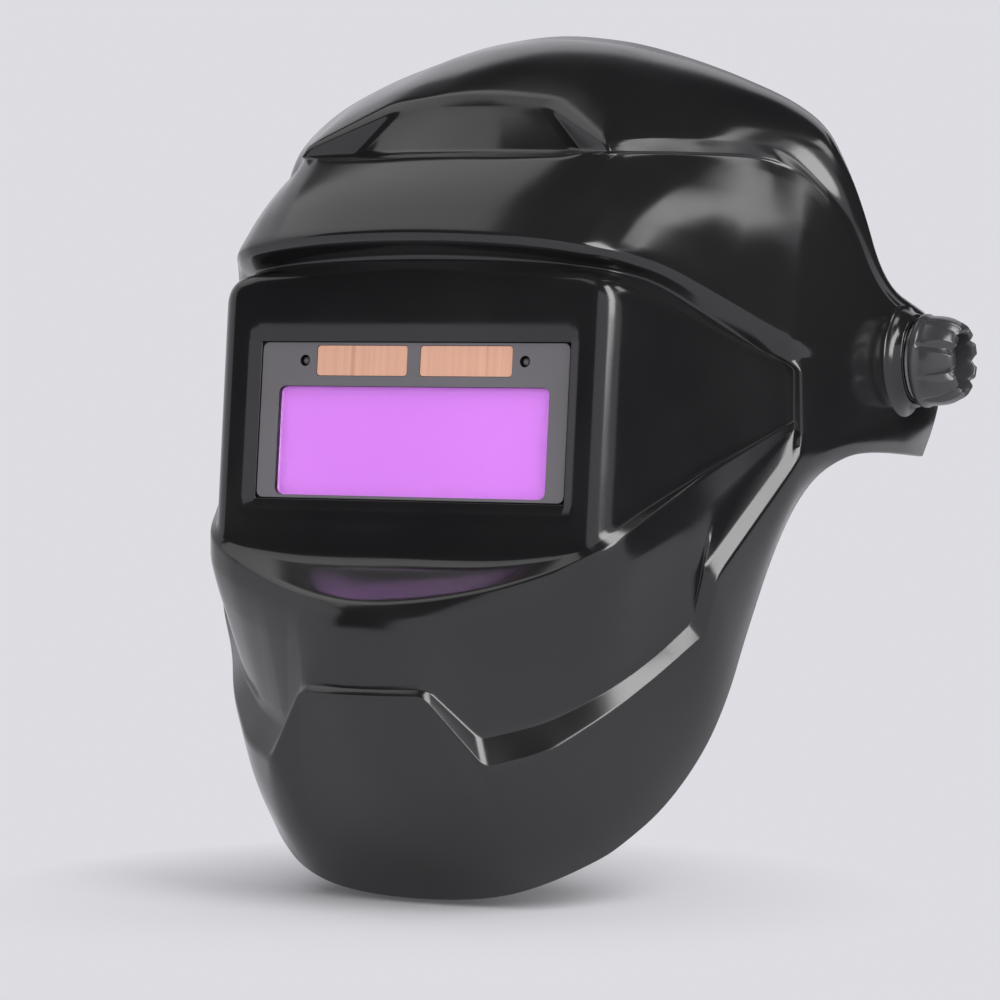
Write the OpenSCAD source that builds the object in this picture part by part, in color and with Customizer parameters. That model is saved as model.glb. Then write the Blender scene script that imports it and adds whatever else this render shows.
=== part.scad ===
// Welding helmet with a solar auto-darkening filter and a ratchet headgear.
// Frame: the origin is the middle of the pivot axis, X runs to the wearer's left,
// the face looks along -Y and Z is up. All sizes are millimetres.

/* [Shell] */
// Half width of the shell at the ears
shell_half_w = 107; // [104:0.5:110]
// Pivot axis to the middle of the window block's face
face_reach = 139; // [135:0.5:145]
// Pivot axis up to the top of the dome rim
crown_height = 105.5; // [103:0.5:110]
// Pivot axis down to the chin rim
chin_drop = 163.5; // [158:0.5:170]
// Wall thickness of the moulded shell
shell_wall = 2.6; // [2.3:0.1:2.9]
// Lean of the window block, its top leaning back, in degrees
face_lean = 6; // [4.5:0.25:7.5]
// Height of the window's centre above the pivot axis
window_z = -17.6; // [-20:0.2:-15]

/* [Window] */
// How far the lip round the opening holds the filter cartridge on each side
lip_hold = 1.75; // [1.5:0.05:2.2]
// Width of the sloped border round the opening
border_w = 3.4; // [2.8:0.1:3.8]
// Depth of the sloped border
border_depth = 2.2; // [1.8:0.1:2.6]
// Thickness of the lip that the filter rests behind
lip_wall = 1.4; // [1.2:0.1:1.8]

/* [Filter] */
// Width of the filter cartridge behind the opening
filter_w = 110; // [109:0.5:112]
// Height of the filter cartridge
filter_h = 52.5; // [51.5:0.25:54]
// Width of the viewing glass
lens_w = 93; // [88:0.5:96]
// Height of the viewing glass
lens_h = 33.6; // [31:0.2:35]
// Drop of the glass's centre below the window's centre
lens_drop = 5.9; // [5.4:0.1:6.4]
// Corner radius of the glass's opening
lens_round = 2.2; // [1.5:0.1:3]
// Width of one solar cell
solar_w = 31.2; // [28:0.2:32]
// Height of one solar cell
solar_h = 9.2; // [8:0.2:9.4]
// Corner radius of the filter's grey front panel
panel_round = 2; // [1:0.1:2.4]
// Corner radius of a solar cell
solar_round = 1; // [0.6:0.1:1.4]
// Gap between the two solar cells
solar_gap = 4.6; // [3:0.2:6]
// Rise of the cells and sensors above the window's centre
solar_rise = 18.7; // [18.4:0.1:18.8]
// Diameter of an arc sensor
sensor_d = 3.3; // [2.6:0.1:3.6]
// Distance of an arc sensor from the middle
sensor_x = 37.8; // [37:0.1:42]
// Thickness of the foam gasket in front of the cartridge
gasket_t = 0.9; // [0.6:0.1:1.2]
// Depth of the cartridge's back cover
back_depth = 6.4; // [6:0.1:7.5]
// Diameter of the posts that carry the retainer
post_d = 6.4; // [5.6:0.2:7]
// Diameter of the retainer screws
screw_d = 2.6; // [2.2:0.1:3]

/* [Pivot] */
// Radius of the round boss on each ear
boss_r = 15; // [14:0.5:16]
// Height of the boss above the ear
boss_rise = 4.4; // [3.5:0.1:5]
// Diameter of the pivot bolt where the shell turns on it
bolt_d = 12; // [10:0.5:13]
// Radial running clearance of the shell on the bolt
bolt_clearance = 0.05; // [0.03:0.01:0.1]
// Diameter of the bolt's threaded end
thread_d = 8; // [6:0.5:9]
// Thickness of the friction washer
friction_t = 1.6; // [1.2:0.1:2]
// Thickness of the stop washer
stop_t = 1.4; // [1:0.1:1.8]
// Radius of both washers
washer_r = 11.5; // [10.5:0.25:11.5]
// Distance of the shell's stop peg from the axis
peg_reach = 14.5; // [14:0.25:15]
// Radius of the stop peg
peg_r = 1.6; // [1.2:0.1:1.8]
// How far the shell lifts, in degrees
lift_angle = 78; // [60:1:85]

/* [Tension knob] */
// Length of the knob along the axis
knob_len = 14.6; // [12:0.2:17]
// Radius of the knob's petals at the shell
knob_base_r = 15; // [14:0.5:16]
// Radius of the knob's outer end
knob_end_r = 11.5; // [10.5:0.25:12]
// Radius of the knob's belly between flange and end
knob_belly_r = 14.1; // [13:0.1:14.2]
// Radius of the hollow in the knob's end
knob_hollow_r = 9; // [7.8:0.2:9.2]
// Number of flutes round the knob
flutes = 9; // [6:1:10]
// Gap between the boss and the knob
knob_gap = 1.5; // [1.3:0.1:2]

/* [Headgear] */
// Room at each side between the headband and the shell's ear
side_room = 28; // [27:0.5:31]
// Reach of the headband ahead of its middle
band_front = 93; // [88:0.5:97]
// Reach of the headband behind its middle
band_back = 98; // [92:0.5:104]
// Height of the headband
band_h = 26; // [22:0.5:30]
// Thickness of the headband
band_t = 2; // [1.6:0.1:2.4]
// Rise of the headband's middle above the pivot axis
band_z = 6; // [4:0.5:8]
// Upward tilt of the headband's front, in degrees
band_tilt = 11; // [8:0.5:13]
// Thickness of the padded sweatband
sweat_t = 8; // [6:0.5:10]
// Thickness of the pivot brackets
bracket_t = 3; // [2.4:0.1:3.4]
// Rise of the crown straps above the headband's middle
crown_rise = 88; // [82:0.5:90]
// Width of the crown straps
crown_w = 18; // [14:0.5:22]
// Thickness of the crown and rear straps
strap_t = 1.6; // [1.2:0.1:2]
// Height of the rear straps
strap_h = 15; // [12:0.5:17]

/* [Ratchet] */
// Width of the ratchet housing
house_w = 66; // [60:1:72]
// Height of the ratchet housing
house_h = 36; // [34:0.5:40]
// Depth of the ratchet housing
house_t = 10; // [9:0.25:12]
// Radius of the ratchet knob
dial_r = 19; // [16:0.5:21]
// Length of the ratchet knob
dial_len = 13; // [10:0.5:15]
// Radius of the ratchet's pinion
pinion_r = 5; // [4.5:0.1:5.5]
// Travel of the size adjustment
size_travel = 20; // [10:1:22]

/* [Hidden] */
$fn = 64;
eps = 0.01;
gap = 0.3;

// The opening follows the cartridge that its lip holds, and the headband follows the shell.
window_w = filter_w - 2 * lip_hold;
window_h = filter_h - 2 * lip_hold;
band_half_w = shell_half_w - side_room;

// Derived places along the pivot axis, from the shell inwards and outwards.
boss_out = shell_half_w + boss_rise;
boss_in = shell_half_w - shell_wall - 1.3;
friction_x = boss_in - 0.15 - friction_t;
stop_x = friction_x - 0.1 - stop_t;
plate_x = stop_x - 0.1 - bracket_t;
knob_x = boss_out + knob_gap;
knob_end = knob_x + knob_len;

// Styling lines of half the shell, from the middle of the face to the back of the ear.
// Each point is [x, forward, up] at the drawn size, and place() fits it to the sizes above.
drawn = [107, 139, 105.5, 163.5];
rim_top = [[0, 33.5, 105.5], [22, 34, 103], [34, 34, 100.3], [46, 33.5, 96.7], [52, 33, 94.6],
    [60, 32.3, 91.6], [67, 31.5, 88.6], [74.5, 30, 85.2], [81.5, 28.5, 81.3], [89, 28, 75.9],
    [95.5, 30.5, 68.9], [104.5, 32.5, 51], [106.5, 17, 24], [107, -16, 15.5]];
dome_edge = [[0, 98, 84.5], [29.5, 93.7, 81.2], [52, 107.5, 67.5], [56.5, 98.5, 68.4], [61, 89, 69],
    [66, 80.5, 69], [71, 73, 68.8], [76.5, 63.5, 68.5], [80, 58, 68], [85, 52, 66.5],
    [91.5, 46, 61], [102.5, 38, 46], [106.3, 20, 20], [107, -20, 11.5]];
crease = [[0, 121, 63], [32, 117.5, 63], [53, 108.2, 63.3], [58.5, 98, 63.5], [62, 91.5, 63.6],
    [67.5, 82.5, 63.6], [73, 72.5, 63.6], [79, 61.5, 63.4], [83, 56.5, 62.5], [88, 53, 60.5],
    [94, 46.5, 56], [103.2, 40, 43], [106.5, 22, 17], [107, -23, 8]];
lip = [[0, 145, 40], [25, 143.7, 39.3], [44, 139.8, 37.7], [55.5, 136.5, 36], [60, 134, 35.3],
    [66.5, 127.8, 33.8], [74, 114, 30.3], [83, 98, 22], [87, 91, 18.2], [95.5, 76, 9.8],
    [99.7, 70, 6.4], [105, 45, 6], [107, 15, 4], [107, -29, 0]];
ledge_edge = [[0, 166.8, -71], [18, 162.2, -69.8], [35, 156, -67], [51.5, 149.5, -62.2], [59, 147, -59],
    [70, 140, -53.3], [75, 124.5, -44.8], [81.3, 110, -36], [84.3, 103, -31.8], [96.3, 66.5, -18]];
jaw = [[0, 169.9, -77], [19, 165.3, -76.2], [35, 158.7, -74], [51.2, 151, -70.5], [58.8, 146.9, -68],
    [70.8, 138.3, -63.5], [77.5, 122.2, -56], [83.5, 105, -49], [85.5, 96.5, -42], [96.3, 66.5, -21]];
strip_top = [[0, 169.6, -96.3], [20.9, 165.2, -96], [32.6, 155.5, -110.1], [47, 144, -106.6],
    [53, 138.5, -103.5], [62.5, 130, -97.6], [71.5, 118.5, -88.8], [80.3, 107, -77.3],
    [83.7, 106, -61.5], [97, 69.5, -26]];
strip_low = [[0, 172.2, -98.1], [21.1, 168.5, -97.9], [37.1, 158.2, -120.1], [50.6, 149.8, -116],
    [57.1, 142.2, -110.9], [66.8, 130.4, -102.5], [75.7, 115.2, -92], [84.1, 105.7, -82],
    [87.6, 104.9, -64.4], [98.3, 74, -33.7], [99.9, 68.5, -28], [105.5, 46, -23], [107, 14, -20],
    [107, -29.5, -15]];
rim_low = [[0, 134, -163.5], [24.7, 132.6, -162.2], [41.5, 129.8, -157.4], [55.5, 119.5, -149.8],
    [60.5, 114.5, -145.6], [70, 104, -135], [78.5, 93.5, -118.5], [84, 87.5, -101.3], [87.6, 83.5, -84],
    [93, 71, -54], [98, 58, -36.5], [105.2, 44.7, -28.5], [106.8, 19.7, -28], [107, -16, -30.5]];
// Recess in the forehead: the top and the foot of its flat panel, and its outer corner.
pocket_top = [[0, 100, 78.5], [26.5, 96.5, 78.4], [52.6, 108.6, 65.8]];
pocket_foot = [[0, 113, 64.8], [39.5, 99.5, 64.5], [53.4, 109.4, 64.2]];
// Height of the block's foot along the row, at the drawn size
foot_z = [-60.5, -60.3, -59.3, -56.5, -55.5, -52.5, -44.5, -35.8, -31.7, -17.8];
// Share of the way from the block's corner to its rear ridge
side_share = [0.19, 0.46, 0.57, 1];
// The block is as wide as the posts and the retainer behind the filter need.
post_x = filter_w / 2 + post_d / 2 + 0.8;
retainer_w = 2 * post_x + post_d + 3;
corner_room = 2;
corner_x = retainer_w / 2 + corner_room;
frame_k = 10;
last_k = 13;

function mix(a, b, t) = a + (b - a) * t;
function unit(v) = v / max(norm(v), 1e-6);
function blended(p, q, t) = [for (k = [0:len(p) - 1]) mix(p[k], q[k], t)];
function sum(v, i = 0) = i < len(v) ? v[i] + sum(v, i + 1) : v[0] * 0;

// A drawn line fitted to the driving sizes.
function place(row) = [for (p = row) [p[0] * shell_half_w / drawn[0], p[1] * face_reach / drawn[1],
    p[2] * (p[2] > 0 ? crown_height / drawn[2] : chin_drop / drawn[3])]];
// Forward reach of the window block's leaning face at height z.
function face_f(z) = face_reach - (z - window_z) * tan(face_lean);
// A row pushed out from the middle of the head by d, less towards the ears.
function bulged(row, d) = [for (k = [0:len(row) - 1])
    row[k] + unit(row[k] - [0, 20, 10]) * d * (k > frame_k ? 0.2 : 1)];

lip_row = place(lip);
low_row = place(strip_low);
edge_row = place(dome_edge);
crease_row = place(crease);
ridge = place([[96.3, 66.5, 0]])[0];
// Ear part of a row that lies a share t down from the brow lip to the lower frame line.
function tail(t) = [for (k = [frame_k:last_k]) mix(lip_row[k], low_row[k], t)];
// Upper row: drawn over the forehead recess, then on the step between dome and brow.
function step_row(drawn_part, t) = concat(place(drawn_part),
    [for (k = [3:last_k]) mix(edge_row[k], crease_row[k], t) + [k < frame_k ? 0.8 * t : 0, 0, 0]]);
// Plan of the window block: flat face, corner and straight side, at height z.
function block_xf(z) = concat(
    [for (x = [0, 18, 36, window_w / 2, window_w / 2 + border_w, corner_x]) [x, face_f(z)]],
    [for (s = side_share) [mix(corner_x, ridge[0], s), mix(face_f(z), ridge[1], s)]]);
function block_row(zs, t, inset = 0) = concat([for (k = [0:frame_k - 1]) let (p = block_xf(zs[k])[k])
    [p[0], p[1] - (k < 4 ? inset : 0), zs[k]]], tail(t));
top_z = [for (k = [0:frame_k - 1]) k < 5 ? window_z + 44.1 : mix(window_z + 42.3, -1.5,
    k < 6 ? 0 : side_share[k - 6])];
foot = [for (z = foot_z) z * chin_drop / drawn[3]];
function window_zs(z, share) = [for (k = [0:frame_k - 1]) k < 5 ? z : mix(top_z[k], foot[k], share)];
open_top = window_z + window_h / 2;
open_low = window_z - window_h / 2;
// Under the lip and in the groove: s runs from 0 at the front to 1 at the sides.
groove_depth = 13.5;
function side_s(k) = pow(lip[k][0] / drawn[0], 3);
under_row = [for (k = [0:last_k]) lip_row[k]
    + (k < frame_k ? [-2.6 * side_s(k), -1.8 + 0.6 * side_s(k), -3.2] : [0, 0, -2.6])];
groove_row = concat([for (k = [0:frame_k - 1]) lip_row[k]
    + [-6.5 * side_s(k) - 2.6 * lip[k][0] / drawn[0], mix(-groove_depth, -2, min(1, 2.2 * side_s(k))),
        -6.8]], tail(0.17));

// Rows of the shell's control net from the dome rim to the chin rim, half the width.
half_net = [
    place(rim_top),
    bulged(blended(place(rim_top), edge_row, 0.33), 3.2),
    bulged(blended(place(rim_top), edge_row, 0.7), 3),
    edge_row,
    step_row(pocket_top, 0.4),
    step_row(pocket_foot, 0.85),
    crease_row,
    bulged(blended(crease_row, lip_row, 0.5), 2.2),
    lip_row,
    under_row,
    groove_row,
    block_row(top_z, 0.25),
    block_row(window_zs(open_top + border_w, 0.18), 0.33),
    block_row(window_zs(open_top, 0.25), 0.42, border_depth),
    block_row(window_zs(open_low, 0.8), 0.5, border_depth),
    block_row(window_zs(open_low - border_w, 0.86), 0.58),
    block_row(foot, 0.67),
    concat(place(ledge_edge), tail(0.75)),
    concat(place(jaw), tail(0.83)),
    concat(place(strip_top), tail(0.92)),
    low_row,
    bulged(blended(low_row, place(rim_low), 0.45), 2),
    place(rim_low)];
rows = len(half_net);
cols = 2 * last_k + 1;
// Share of the row spacing that each row's edge is rounded over; 0.5 is fully smooth.
row_round = [0, 0.5, 0.5, 0.2, 0.25, 0.14, 0.2, 0.5, 0.2, 0.25, 0.35, 0.42, 0.3, 0.03, 0.03, 0.3,
    0.3, 0.16, 0.32, 0.14, 0.14, 0.5, 0];
// The same along a row: sharp at the window, the recess and the frame's corners.
function col_round(i, k) = i > 11 && i < 16 && k == 3 ? 0.03
    : i > 11 && i < 16 && k == 4 ? 0.25
    : i > 2 && i < 6 && (k == 1 || k == 2) ? 0.12
    : i > 18 && i < 21 && (k == 1 || k == 2) ? 0.14
    : i > 18 && i < 21 && (k == 7 || k == 8) ? 0.14
    : i > 10 && i < 21 && k == 9 ? 0.2
    : i > 10 && i < 21 && k == frame_k ? 0.25 : 0.5;

// The whole net in part axes, right side first.
function to_part(p, side) = [side * p[0], -p[1], p[2]];
net = [for (r = half_net) concat([for (k = [last_k:-1:1]) to_part(r[k], -1)], [for (p = r) to_part(p, 1)])];
function face_normal(i, k) = unit(cross(net[i + 1][k + 1] - net[i][k], net[i][k + 1] - net[i + 1][k]));
// Solves m * x = v for a 3x3 m given by its rows.
function solve(m, v) = let (d = m[0] * cross(m[1], m[2]))
    (cross(m[1], m[2]) * v[0] + cross(m[2], m[0]) * v[1] + cross(m[0], m[1]) * v[2]) / d;
// Offset that keeps the wall even: x with n * x = 1 for the normals n of the faces that meet here.
function even_offset(i, k) = let (
    ns = [for (a = [max(i - 1, 0):min(i, rows - 2)]) for (b = [max(k - 1, 0):min(k,
        cols - 2)]) face_normal(a, b)],
    mean = unit(sum(ns)), soft = 0.12,
    m = [for (r = [0:2]) [for (c = [0:2]) sum([for (n = ns) n[r] * n[c]]) + (r == c ? soft : 0)]],
    x = solve(m, sum(ns) + soft * mean))
    x * min(1, 2 / norm(x));
function in_window(i, k) = i > 11 && i < 16 && abs(k - last_k) < 5;
even_net = [for (i = [0:rows - 1]) [for (k = [0:cols - 1]) let (p = net[i][k])
    in_window(i, k) ? [p[0], -face_f(p[2]) + border_depth + lip_wall, p[2]]
        : p - even_offset(i, k) * shell_wall]];
// Behind a sharp outer fold the inner skin runs straight from the valley to the next row or column.
function next_k(k) = k + (k < last_k ? -1 : 1);
inner_net = [for (i = [0:rows - 1]) [for (k = [0:cols - 1]) let (side = abs(k - last_k))
    i == 20 && side < frame_k ? mix(even_net[19][k], even_net[21][k], 0.12)
        : i == 9 && side < frame_k ? mix(even_net[8][k], even_net[10][k], 0.3)
        : i > 10 && i < 20 && side == frame_k ? mix(even_net[i][2 * k - next_k(k)],
            even_net[i][next_k(k)], 0.15)
        : even_net[i][k]]];

// Points of a polyline with each corner rounded over its share of the spacing.
function rounded(p, share, count) = concat([p[0]], [for (i = [1:len(p) - 2])
    let (a = mix(p[i], p[i - 1], share[i]), b = mix(p[i], p[i + 1], share[i]))
    for (j = [0:count[i] - 1]) let (t = count[i] == 1 ? 0.5 : mix(0.12, 0.88, j / (count[i] - 1)))
        a * (1 - t) * (1 - t) + p[i] * 2 * t * (1 - t) + b * t * t], [p[len(p) - 1]]);
col_count = [for (k = [0:cols - 1]) abs(abs(k - last_k) - 3.5) < 1 ? 1 : 2];
row_count = [for (i = [0:rows - 1]) i > 11 && i < 16 ? 1 : 2];
function skin(n) = let (dense = [for (i = [0:rows - 1])
        rounded(n[i], [for (k = [0:cols - 1]) col_round(i, abs(k - last_k))], col_count)])
    [for (j = [0:len(dense[0]) - 1]) let (behind = abs(dense[8][j][0]) > 0.965 * shell_half_w)
        rounded([for (r = dense) r[j]], behind ? [for (s = row_round) 0.5] : row_round, row_count)];
outer_skin = skin(net);
inner_skin = skin(inner_net);
na = len(outer_skin);
nb = len(outer_skin[0]);
// Cells of the skin that the window opening leaves out.
win_b0 = 24;
win_b1 = win_b0 + 1;
win_a0 = 18;
win_a1 = na - 1 - win_a0;
function is_open(a, b) = a >= win_a0 && a < win_a1 && b >= win_b0 && b < win_b1;

module shell_wall_body() {
    n = na * nb;
    quads = concat(
        [for (a = [0:na - 2]) for (b = [0:nb - 2]) if (!is_open(a, b))
            [a * nb + b, a * nb + b + 1, (a + 1) * nb + b + 1, (a + 1) * nb + b]],
        [for (a = [0:na - 2]) for (b = [0:nb - 2]) if (!is_open(a, b))
            [n + a * nb + b, n + (a + 1) * nb + b, n + (a + 1) * nb + b + 1, n + a * nb + b + 1]],
        [for (a = [0:na - 2]) for (b = [0, nb - 1]) let (p = a * nb + b, q = (a + 1) * nb + b)
            b == 0 ? [p, q, n + q, n + p] : [q, p, n + p, n + q]],
        [for (b = [0:nb - 2]) for (a = [0, na - 1]) let (p = a * nb + b, q = a * nb + b + 1)
            a == 0 ? [q, p, n + p, n + q] : [p, q, n + q, n + p]],
        [for (a = [win_a0:win_a1 - 1]) for (b = [win_b0, win_b1]) let (p = a * nb + b, q = (a + 1) * nb + b)
            b == win_b0 ? [q, p, n + p, n + q] : [p, q, n + q, n + p]],
        [for (b = [win_b0:win_b1 - 1]) for (a = [win_a0, win_a1]) let (p = a * nb + b, q = a * nb + b + 1)
            a == win_a0 ? [p, q, n + q, n + p] : [q, p, n + p, n + q]]);
    faces = [for (q = quads) each [[q[2], q[1], q[0]], [q[3], q[2], q[0]]]];
    points = concat([for (c = outer_skin) each c], [for (c = inner_skin) each c]);
    polyhedron(points = points, faces = faces, convexity = 12);
}

// Frame of the window's face: z points out of the face and y up along it.
module at_face() translate([0, -face_reach, window_z]) rotate([90 - face_lean, 0, 0]) children();
// Frame of the headband, its front tilted up.
module at_band() translate([0, 0, band_z]) rotate([-band_tilt, 0, 0]) children();
// Frame of the pivot: z runs outwards along the axis, on the wearer's left.
module at_pivot() rotate([90, 0, 90]) children();
// The left piece, or its mirror image on the right.
module on_side(side) {
    if (side > 0) children();
    else mirror([1, 0, 0]) children();
}
module both_sides() {
    children();
    mirror([1, 0, 0]) children();
}
// Upright disc, ring and tapered ring between two heights.
module disc(r, z0, z1) translate([0, 0, z0]) cylinder(r = r, h = z1 - z0);
module ring(r, bore, z0, z1) difference() {
    disc(r, z0, z1);
    disc(bore, z0 - 1, z1 + 1);
}
function arc(cx, cy, r, a0, n) = [for (i = [0:n]) [cx + r * cos(a0 + 90 * i / n),
    cy + r * sin(a0 + 90 * i / n)]];
function rect_path(w, h, r) = concat(arc(w / 2 - r, h / 2 - r, r, 0, 5), arc(r - w / 2, h / 2 - r, r, 90,
    5),
    arc(r - w / 2, r - h / 2, r, 180, 5), arc(w / 2 - r, r - h / 2, r, 270, 5));
// Rounded plate between two heights, its centre shifted up by dy.
module plate(w, h, r, z0, z1, dy = 0) translate([0, dy, z0]) linear_extrude(z1 - z0) polygon(rect_path(w,
    h, r));

// Levels of the filter behind the block's face.
slack = 0.1;
lip_z = -border_depth - lip_wall;
gasket_z = lip_z - 0.15;
flange_front = gasket_z - gasket_t - slack;
flange_t = 1.8;
flange_back = flange_front - flange_t;
panel_z = -border_depth - 0.4;
panel_w = window_w - 1;
panel_h = window_h - 1.2;
seat_dy = (border_depth + lip_wall / 2) * sin(face_lean);
glass_t = 1.4;
glass_front = flange_back + slack + glass_t;
glass_edge = 2;
cover_t = 0.8;
wall_t = 1.5;
back_front = flange_back - slack;
back_z = back_front - back_depth;
cell_t = 2.2;
board_t = 1.2;
board_front = back_front - 0.2;
battery_r = 4.75;
battery_t = 2.6;
inner_t = 1;
inner_edge_x = 3;
inner_edge_y = 2;
retainer_front = back_z - 0.15;
retainer_t = 2.6;
post_y = 18;
post_end = retainer_front + slack;
screw_head_r = screw_d;
screw_head_t = 1.8;
module at_posts() {
    for (x = [-post_x, post_x]) for (y = [-post_y, post_y]) translate([x, y, 0]) children();
}

// Stop peg of the shell and the bores of its ears.
peg_angle = 60;
neck_w = 2.5;
neck_rise = 2.6;
module ear() at_pivot() {
    disc(boss_r, boss_in, boss_out);
    translate([0, 0, shell_half_w - shell_wall]) cylinder(r1 = boss_r + neck_w, r2 = boss_r,
        h = shell_wall + neck_rise);
    rotate([0, 0, peg_angle]) translate([peg_reach, 0, 0]) disc(peg_r, stop_x + slack, boss_in + 1);
}
module shell() color([0.05, 0.05, 0.055]) difference() {
    union() {
        shell_wall_body();
        both_sides() ear();
        at_face() at_posts() disc(post_d / 2, post_end, lip_z + 1.4);
    }
    both_sides() at_pivot() disc(bolt_d / 2 + bolt_clearance, boss_in - 1, boss_out + 1);
    at_face() at_posts() disc(screw_d / 2, post_end - 1, post_end + 7.5);
}

// Auto-darkening filter cartridge.
module filter_front() color([0.4, 0.4, 0.42]) at_face() difference() {
    union() {
        plate(filter_w, filter_h, 2, flange_back, flange_front);
        plate(panel_w, panel_h, panel_round, flange_front - eps, panel_z, seat_dy);
    }
    plate(lens_w, lens_h, lens_round, flange_back - 1, panel_z + 1, -lens_drop);
    plate(lens_w + 2 * glass_edge, lens_h + 2 * glass_edge, 1.5, flange_back - 1, glass_front + slack,
        -lens_drop);
    for (side = [-1, 1]) translate([side * (solar_gap + solar_w) / 2, solar_rise, 0])
        plate(solar_w + 0.3, solar_h + 0.3, solar_round + 0.1, panel_z - 0.7, panel_z + 1);
    for (side = [-1, 1]) translate([side * sensor_x, solar_rise, 0])
        disc(sensor_d / 2 + slack, flange_back - 1, panel_z + 1);
}
module filter_gasket() color([0.12, 0.12, 0.12]) at_face() difference() {
    plate(filter_w, filter_h, 2, gasket_z - gasket_t, gasket_z);
    plate(panel_w + 0.6, panel_h + 0.6, 1, gasket_z - gasket_t - 1, gasket_z + 1, seat_dy);
}
module cover_lens() color([0.85, 0.9, 0.95, 0.4]) at_face()
    plate(lens_w - 0.3, lens_h - 0.3, lens_round - 0.1, glass_front + slack,
        glass_front + slack + cover_t, -lens_drop);
module filter_glass() color([0.8, 0.4, 0.95]) at_face()
    plate(lens_w + 2 * glass_edge - 0.3, lens_h + 2 * glass_edge - 0.3, 1.4, glass_front - glass_t,
        glass_front, -lens_drop);
module solar_cells() color([0.8, 0.55, 0.42]) at_face()
    for (side = [-1, 1]) translate([side * (solar_gap + solar_w) / 2, solar_rise, 0])
        plate(solar_w, solar_h, solar_round, panel_z - 0.65, panel_z - 0.15);
// Each sensor ends in a small bead, sunk in its hole.
bead_r = sensor_d / 2 - 0.35;
bead_top = panel_z - 0.35;
module arc_sensors() color([0.1, 0.05, 0.06]) at_face()
    for (side = [-1, 1]) translate([side * sensor_x, solar_rise, 0])
        rotate_extrude() polygon([[0, board_front + 0.05], [bead_r, board_front + 0.05],
            [bead_r, bead_top - bead_r], [0.87 * bead_r, bead_top - bead_r / 2],
            [bead_r / 2, bead_top - 0.13 * bead_r], [0, bead_top]]);
module circuit_board() color([0.1, 0.35, 0.2]) at_face()
    plate(filter_w - 2 * wall_t - 3, solar_h + 0.4, 0.5, board_front - board_t, board_front,
        solar_rise - 0.4);
module filter_battery() color([0.75, 0.75, 0.78]) at_face()
    for (side = [-1, 1]) translate([side * solar_w * 0.7, solar_rise - 0.4, 0])
        disc(battery_r, board_front - board_t - 0.05 - battery_t, board_front - board_t - 0.05);
module liquid_crystal_cell() color([0.35, 0.25, 0.45]) at_face()
    plate(lens_w + 2, lens_h + 2, 0.5, back_z + wall_t + 0.05, back_z + wall_t + 0.05 + cell_t, -lens_drop);
module filter_back() color([0.13, 0.13, 0.14]) at_face() difference() {
    plate(filter_w, filter_h, 2, back_z, back_front);
    plate(filter_w - 2 * wall_t, filter_h - 2 * wall_t, 1, back_z + wall_t, back_front + 1);
    plate(lens_w - 3, lens_h - 3, 1, back_z - 1, back_z + wall_t + 1, -lens_drop);
}
module inner_cover_lens() color([0.85, 0.9, 0.95, 0.4]) at_face()
    plate(lens_w + 2 * inner_edge_x, lens_h + 2 * inner_edge_y, 1, retainer_front - slack - inner_t,
        retainer_front - slack, -lens_drop);
module filter_retainer() color([0.1, 0.1, 0.1]) at_face() difference() {
    plate(retainer_w, filter_h + 2, 3, retainer_front - retainer_t, retainer_front);
    plate(lens_w + 2 * (inner_edge_x + gap), lens_h + 2 * (inner_edge_y + gap), 1,
        retainer_front - 2 * slack - inner_t, retainer_front + 1,
        -lens_drop);
    plate(lens_w, lens_h, 1, retainer_front - retainer_t - 1, retainer_front, -lens_drop);
    at_posts() disc(screw_d / 2 + slack, retainer_front - retainer_t - 1, retainer_front + 1);
}
module retainer_screws() color([0.6, 0.6, 0.62]) at_face() at_posts() difference() {
    union() {
        disc(screw_d / 2 - 0.02, retainer_front - retainer_t - 0.05, post_end + 7);
        disc(screw_head_r, retainer_front - retainer_t - 0.05 - screw_head_t,
            retainer_front - retainer_t - 0.05);
    }
    translate([-4, -0.35, retainer_front - retainer_t - 0.05 - screw_head_t - 1]) cube([8, 0.7, 1.8]);
}

// Headband and the pieces on it, in the headband's own frame.
function band_xy(a, d) = let (b = abs(a) < 90 ? band_front : band_back) [(band_half_w + d) * sin(a),
    -(b + d) * cos(a)];
function side_x(y, d) = (band_half_w + d) * sqrt(1 - pow(y / ((y < 0 ? band_front : band_back) + d), 2));
function side_turn(y) = atan2(y / pow(y < 0 ? band_front : band_back, 2), side_x(y, 0) / pow(band_half_w,
    2));
band_end = 130;
rivet_r = 1.6;
rivet_head_r = 3.2;
rivet_head_t = 1.2;
foot_d = band_t / 2 + 0.12;
foot_y = [29, 32.5, 36, 40];
rivet_y = 34.5;
rivet_z = -2;
bracket_low = -15;
bracket_high = 10;
plate_y = 18;
strap_gap = 0.8;
strap_x = band_half_w - band_t / 2 - strap_gap;
module arc_band(a0, a1, d0, d1, z0, z1) translate([0, 0, z0]) linear_extrude(z1 - z0)
    polygon(concat([for (i = [0:36]) band_xy(mix(a0, a1, i / 36), d1)],
        [for (i = [36:-1:0]) band_xy(mix(a0, a1, i / 36), d0)]));
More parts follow.
